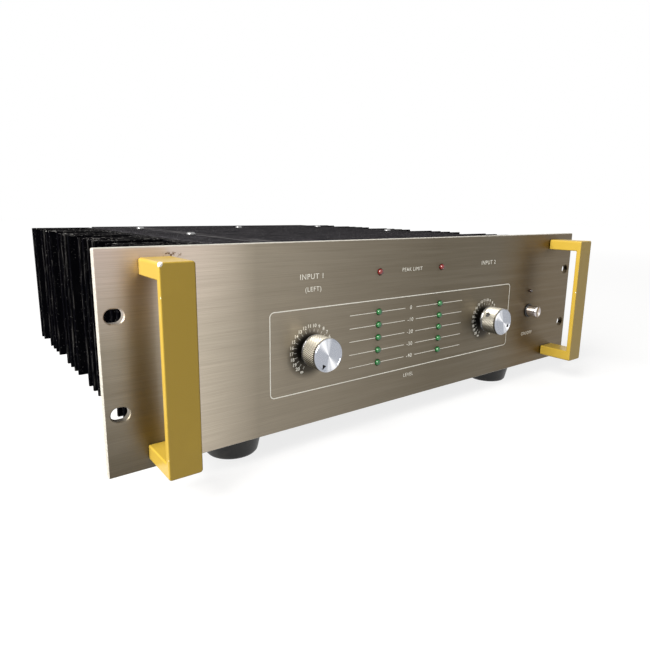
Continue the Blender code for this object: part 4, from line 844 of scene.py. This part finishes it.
digit, ring, half_tick = 0.0025, 0.0174, 0.00012
for x in (-dial_x, dial_x):
    for step in range(22):
        turn = math.radians(-150.0 + step * 300.0 / 21.0)
        aside, above = math.sin(turn), math.cos(turn)
        if step:
            prints.append(printed(str(21 - step), (x + ring * aside, ink_y, dial_z + ring * above), digit,
                                  weight=0.00006))
        else:
            loop = printed("8", (0.0, ink_y, 0.0), digit, weight=0.00006)
            loop.rotation_euler.y = math.pi / 2
            loop.location = (x + 0.0176 * aside, 0.0, dial_z + 0.0176 * above)
            settle(loop)
            prints.append(loop)
        tick = block("tick", (-half_tick, ink_front, 0.0130), (half_tick, ink_back, 0.0152))
        tick.rotation_euler.y = turn
        tick.location = (x, 0.0, dial_z)
        settle(tick)
        prints.append(tick)
for words, x, z, height in (("INPUT 1", -dial_x, 0.0419, 0.0038), ("INPUT 2", dial_x, 0.0419, 0.0038),
                            ("(LEFT)", -0.098, 0.0330, 0.0034), ("PEAK LIMIT", 0.0, 0.0415, 0.0030),
                            ("LEVEL", 0.0, -0.0468, 0.0030), ("ON/OFF", 0.170, -0.0337, 0.0034)):
    prints.append(printed(words, (x, ink_y, centre_z + z), height, 0.0, wide))
front_print = join_pieces("panel_print", prints)
front_print.data.materials.clear()
front_print.data.materials.append(ink)
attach(front_print, "amplifier")


# ---------------------------------------------------------------- handles
# Square-edged aluminium grab handles in satin yellow lacquer, one piece each,
# with a few chips along the edges and one knocked corner.
gold = plain_material("yellow_lacquer", (0.50, 0.34, 0.05), 0.40, 0.0, Specular_IOR_Level=0.35)
tree = gold.node_tree
place = object_place(tree)
box_edge, given, result = new_effect("box_edge", [("Vector", VECTOR, (0, 0, 0)), ("Low", VECTOR, (0, 0, 0)),
                                                  ("High", VECTOR, (1, 1, 1))], [("Distance", FLOAT)])
from_low = vector_maths(box_edge, given["Vector"], given["Low"], "SUBTRACT")
from_high = vector_maths(box_edge, given["High"], given["Vector"], "SUBTRACT")
nearest = vector_maths(box_edge, from_low, from_high, "MINIMUM")
sides = parted(box_edge, nearest)
smaller = maths(box_edge, sides[0], sides[1], "MINIMUM")
larger = maths(box_edge, sides[0], sides[1], "MAXIMUM")
second = maths(box_edge, smaller, maths(box_edge, larger, sides[2], "MINIMUM"), "MAXIMUM")
box_edge.links.new(second, result.inputs["Distance"])
handle_low, handle_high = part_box("handle_right")
axes = parted(tree, place)
mirrored = maths(tree, axes[0], operation="ABSOLUTE")
folded = joined(tree, mirrored, axes[1], axes[2])
distance = use_effect(tree, box_edge, Vector=folded, Low=tuple(handle_low), High=tuple(handle_high))["Distance"]
chip_noise = noise(tree, place, 420.0, 3.0)
reach = scaled(tree, chip_noise, -0.0011, 0.0011, 0.45, 0.80)
chipped = scaled(tree, maths(tree, reach, distance, "SUBTRACT"), 0.0, 1.0, 0.0, 0.0001)
knocked = Vector(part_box("handle_left")[0])
knocked.z = handle_high.z
off_corner = length(tree, vector_maths(tree, place, tuple(knocked), "SUBTRACT"))
past_chip = maths(tree, off_corner, scaled(tree, chip_noise, 0.0, 0.0042), "SUBTRACT")
bare = scaled(tree, past_chip, 1.0, 0.0, 0.0005, 0.0008)
chipped = maths(tree, chipped, bare, "MAXIMUM")
mottle = speckle(tree, place, 0.030, 0.5, 0.4)
base = blend_colours(tree, mottle, (0.47, 0.315, 0.040), (0.53, 0.36, 0.052))
wire(tree, blend_colours(tree, chipped, base, (0.85, 0.82, 0.76)), "Base Color")
wire(tree, scaled(tree, mottle, 0.30, 0.42), "Roughness")
grain = noise(tree, place, 1500.0, 2.0)
bumped(tree, grain, 0.00003)

for side in ("left", "right"):
    low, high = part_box("handle_" + side)
    handle = block("grab_handle_" + side, low, high)
    edit(handle)
    bpy.ops.mesh.select_mode(type="EDGE")
    bpy.ops.mesh.select_all(action="DESELECT")
    bpy.ops.object.mode_set(mode="OBJECT")
    for side_edge in handle.data.edges:
        ends = [handle.data.vertices[i].co for i in side_edge.vertices]
        side_edge.select = abs(ends[0].y - ends[1].y) > 0.01
    bpy.ops.object.mode_set(mode="EDIT")
    bpy.ops.mesh.bevel(offset=0.0018, segments=5)
    bpy.ops.object.mode_set(mode="OBJECT")
    cut(handle, block("opening", (low.x - 0.01, low.y + 0.0042, low.z + 0.0098),
                      (high.x + 0.01, face_y + 0.01, high.z - 0.0098)))
    soften(handle, 0.0009, 3)
    smooth(handle, 35.0, True)
    dress(handle, gold, "handle_" + side)
    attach(handle, "amplifier")


# ---------------------------------------------------------------- level knobs
# Turned from bright aluminium bar: a diamond knurl between plain rings, a shallow
# spun dish in front and a black triangle let into the rim to show the setting.
spun = plain_material("spun_aluminium", (0.80, 0.81, 0.83), 0.22, 1.0, Anisotropic=0.85)
tree = spun.node_tree
place = object_place(tree)
axes = parted(tree, place)
from_axis = dial_place(tree, axes)
radius = length(tree, from_axis)
groove_place = joined(tree, 0.0, radius, 0.0)
grooves = streak(tree, groove_place, 0.05, 0.00016)
wire(tree, scaled(tree, grooves, 0.16, 0.34, 0.35, 0.65), "Roughness")
wire(tree, from_axis, "Tangent")

# A painted highlight: bright lobes across a spun face at a set turn, in place of the lamp's reflection in its
# circular grooves.
spun_painted_highlight, given, result = new_effect("spun_painted_highlight", [("Vector", VECTOR, (0, 0, 0)), ("Turn", FLOAT, 0.0),
                                                      ("Sharpness", FLOAT, 12.0)], [("PaintedHighlight", FLOAT)])
sides = parted(spun_painted_highlight, given["Vector"])
bearing = maths(spun_painted_highlight, sides[0], sides[2], "ARCTAN2")
turned_by = maths(spun_painted_highlight, bearing, given["Turn"], "SUBTRACT")
lobe = maths(spun_painted_highlight, turned_by, operation="COSINE")
lobe = maths(spun_painted_highlight, lobe, operation="ABSOLUTE")
spun_painted_highlight.links.new(maths(spun_painted_highlight, lobe, given["Sharpness"], "POWER"), result.inputs["PaintedHighlight"])
# Each knob face carries two painted highlight streaks through its centre, turned per knob.
lie = scaled(tree, axes[0], math.radians(-27), math.radians(-50), -0.01, 0.01)
sheen = use_effect(tree, spun_painted_highlight, Vector=from_axis, Turn=lie, Sharpness=22.0)["PaintedHighlight"]
beside_lie = maths(tree, lie, 0.45, "ADD")
side_painted_highlight = use_effect(tree, spun_painted_highlight, Vector=from_axis, Turn=beside_lie, Sharpness=60.0)["PaintedHighlight"]
sheen = maths(tree, sheen, maths(tree, side_painted_highlight, 0.5), "MAXIMUM")
metal = blend_colours(tree, scaled(tree, grooves, 0.0, 0.4, 0.40, 0.65), (0.42, 0.44, 0.49), (0.32, 0.34, 0.38))
wire(tree, blend_colours(tree, sheen, metal, (0.94, 0.95, 0.98)), "Base Color")

knurled = plain_material("knurled_aluminium", (0.78, 0.76, 0.71), 0.24, 1.0)
tree = knurled.node_tree
place = object_place(tree)
grime = speckle(tree, place, 0.004, 0.5, 0.3)
off_axis = dial_place(tree, parted(tree, place))
radius = length(tree, off_axis)
crest = blend_colours(tree, grime, (0.84, 0.80, 0.70), (0.64, 0.60, 0.50))
# Painted shade: the knurl's valleys are near black between the bright diamonds.
toward_crest = scaled(tree, radius, 0.0, 1.0, 0.01182, 0.01203)
wire(tree, blend_colours(tree, toward_crest, (0.075, 0.068, 0.05), crest), "Base Color")
wire(tree, scaled(tree, grime, 0.46, 0.58), "Roughness")

pointer_black = plain_material("pointer_black", (0.008, 0.008, 0.009), 0.5, Specular_IOR_Level=0.05)
tree = pointer_black.node_tree
dull = speckle(tree, object_place(tree), 0.0008, 0.5, 0.2)
wire(tree, scaled(tree, dull, 0.28, 0.5), "Roughness")

AROUND, UP = 104, 12
WAIST, PEAK, RING = 0.01175, 0.0121, 0.0119
for channel, turn in (("1", -150.0), ("2", -150.0 + 19 * 300.0 / 21.0)):
    node = "level_knob_channel_" + channel
    low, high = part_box(node)
    x, z = (low.x + high.x) / 2, (low.z + high.z) / 2
    depth = high.y - low.y
    knurl_start, knurl_end = 0.0020, depth - 0.0022
    step = (knurl_end - knurl_start) / UP
    stations = [(0.0110, 0.0), (RING, 0.0005), (RING, 0.0016)]
    stations += [(WAIST, knurl_start + step * i) for i in range(UP + 1)]
    stations += [(WAIST, depth - 0.0018), (RING, depth - 0.0016), (RING, depth - 0.0008), (0.0113, depth - 0.0001),
                 (0.0111, depth), (0.0106, depth), (0.0103, depth - 0.0004), (0.0030, depth - 0.0004)]
    knob = turned("turned_knob_" + channel, stations, AROUND, (x, high.y, z), FRONT)
    edit(knob)
    first = math.atan2(knob.data.vertices[0].co.z - z, knob.data.vertices[0].co.x - x)

    def peak(p):
        ring = (high.y - p.y - knurl_start) / step
        if not 0.5 < ring < UP - 0.5 or abs(math.hypot(p.x - x, p.z - z) - WAIST) > 0.0002:
            return False
        around = (math.atan2(p.z - z, p.x - x) - first) / (2 * math.pi / AROUND)
        return (round(ring) + round(around)) % 2 == 0

    select_where(knob, peak)
    bpy.ops.transform.resize(value=(PEAK / WAIST, 1.0, PEAK / WAIST), center_override=(x, 0.0, z))
    bpy.ops.object.mode_set(mode="OBJECT")
    split = knob.modifiers.new("split", "TRIANGULATE")
    split.quad_method = "SHORTEST_DIAGONAL"
    split.min_vertices = 4
    bpy.ops.object.modifier_apply(modifier=split.name)

    angle = math.radians(turn)
    pointing = Vector((math.sin(angle), 0.0, math.cos(angle)))
    hole = Vector((x, high.y - 0.0070, z)) - pointing * 0.0060
    cut(knob, turned("grub_hole", [(0.00225, 0.0), (0.00225, 0.008)], 28, hole, -pointing))
    cut(knob, turned("bore", [(0.0088, -0.001), (0.0088, 0.0034), (0.0031, 0.0035), (0.0031, 0.0131)], 40,
                     (x, high.y, z), FRONT))
    smooth(knob, 18.0)
    knob.data.materials.clear()
    for material in (knurled, spun, pointer_black):
        knob.data.materials.append(material)
    for face in knob.data.polygons:
        forward = high.y - face.center.y
        off_hole = face.center - hole
        off_hole -= off_hole.dot(pointing) * pointing
        if off_hole.length < 0.0024 and abs(face.normal.dot(pointing)) < 0.3 and forward < 0.010:
            face.material_index = 2
        if forward > depth - 0.0015 or (forward < 0.0018 and abs(face.normal.y) < 0.9):
            face.material_index = 1
    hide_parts(node)
    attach(knob, "level_knob_" + channel)

    clear_selection()
    bpy.ops.mesh.primitive_cylinder_add(vertices=3, radius=0.0015, depth=0.0004, rotation=(math.pi / 2, 0.0, 0.0))
    pointer = bpy.context.active_object
    pointer.name = "pointer_" + channel
    settle(pointer)
    tip = max((v.co.copy() for v in pointer.data.vertices), key=lambda p: abs(p.z))
    pointer.scale = (1.2, 1.0, 1.5)
    pointer.rotation_euler.y = angle if tip.z > 0 else angle + math.pi
    pointer.location = Vector((x, low.y + 0.00050, z)) + pointing * 0.0084
    settle(pointer)
    dress(pointer, pointer_black)
    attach(pointer, "level_knob_" + channel)

steel = plated_steel("dark_steel", (0.20, 0.20, 0.20), 0.35)
for channel in ("1", "2"):
    paint_node("knob_set_screw_channel_" + channel, steel)
    paint_node("level_shaft_channel_" + channel, nickel)


# ---------------------------------------------------------------- lamps
# Round-nosed 5 mm indicator lamps in tinted plastic, pushed through the panel
# from behind: green for level, dark red for overload, a small one for power.
def tinted(name, rim, heart):
    """Glossy tinted plastic, deeper where it is seen edge-on."""
    made = plain_material(name, heart, 0.10, Coat_Weight=0.6, Coat_Roughness=0.04)
    tree = made.node_tree
    facing = add_node(tree, "ShaderNodeLayerWeight", {"Blend": 0.45}).outputs["Facing"]
    hazy = speckle(tree, object_place(tree), 0.0016, 0.5, 0.4)
    wire(tree, blend_colours(tree, facing, heart, rim), "Base Color")
    wire(tree, scaled(tree, hazy, 0.08, 0.20), "Roughness")
    return made


green = tinted("green_tint", (0.002, 0.018, 0.005), (0.009, 0.180, 0.036))
dark_red = tinted("red_tint", (0.020, 0.002, 0.002), (0.220, 0.012, 0.010))
smoked = tinted("smoked_tint", (0.003, 0.001, 0.001), (0.020, 0.004, 0.003))
for node in lamp_nodes + ["power_led"]:
    low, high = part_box(node)
    x, z = (low.x + high.x) / 2, (low.z + high.z) / 2
    nose = 0.0015 if node == "power_led" else 0.0025
    clear_selection()
    bpy.ops.mesh.primitive_uv_sphere_add(segments=32, ring_count=16, radius=nose, location=(x, low.y + nose, z),
                                         rotation=(math.pi / 2, 0.0, 0.0))
    lamp = bpy.context.active_object
    lamp.name = node.replace("_led_", "_lamp_").replace("power_led", "power_lamp")
    settle(lamp)
    edit(lamp)
    select_where(lamp, lambda p: p.y > low.y + nose + 1e-6)
    bpy.ops.transform.translate(value=(0.0, high.y - low.y - 2 * nose, 0.0))
    bpy.ops.object.mode_set(mode="OBJECT")
    smooth(lamp, 60.0)
    dress(lamp, {"l": green, "o": dark_red, "p": smoked}[node[0]], node)
    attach(lamp, "amplifier")


# ---------------------------------------------------------------- power switch
# A bright turned button with a shallow dish, sliding in the smooth black collar
# of the switch that is fixed behind the panel.
low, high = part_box("power_switch")
switch = turned("switch_collar", [(0.0062, -0.0050), (0.0062, 0.0), (0.0065, 0.0), (0.0067, 0.0003),
                                  (0.0067, face_y - low.y - 0.0003), (0.0064, face_y - low.y)], 56,
                (button_x, face_y, button_z), FRONT)
case = block("case", (low.x, panel_high.y + 0.0002, low.z), high)
cut(switch, case, "UNION")
cut(switch, turned("bore", [(0.0057, -0.016), (0.0057, 0.01)], 48, (button_x, face_y, button_z), FRONT))
smooth(switch, 35.0)
dress(switch, socket_black, "power_switch")
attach(switch, "amplifier")

bright = plain_material("bright_button", (0.56, 0.53, 0.50), 0.16, 1.0, Anisotropic=0.5)
tree = bright.node_tree
place = object_place(tree)
away = vector_maths(tree, place, (button_x, 0.0, button_z), "SUBTRACT")
flat = vector_maths(tree, away, (1.0, 0.0, 1.0), "MULTIPLY")
radius = length(tree, flat)
ring_place = joined(tree, 0.0, radius, 0.0)
rings = streak(tree, ring_place, 0.05, 0.00015)
# A painted highlight streak crosses the button face.
sheen = use_effect(tree, spun_painted_highlight, Vector=flat, Turn=math.radians(-45), Sharpness=10.0)["PaintedHighlight"]
wire(tree, blend_colours(tree, sheen, (0.50, 0.46, 0.46), (0.95, 0.92, 0.90)), "Base Color")
wire(tree, scaled(tree, rings, 0.12, 0.28, 0.35, 0.65), "Roughness")
wire(tree, flat, "Tangent")
reach = button_high.y - button_low.y
button = turned("push_button", [(0.0030, 0.0), (0.0030, 0.0030), (0.0054, 0.0030), (0.0054, reach - 0.0007),
                                (0.0052, reach - 0.0002), (0.0048, reach), (0.0044, reach - 0.0001),
                                (0.0028, reach - 0.0006), (0.0010, reach - 0.0008)], 56,
                (button_x, button_high.y, button_z), FRONT)
smooth(button, 30.0)
dress(button, bright, "power_button")
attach(button, "power_button")
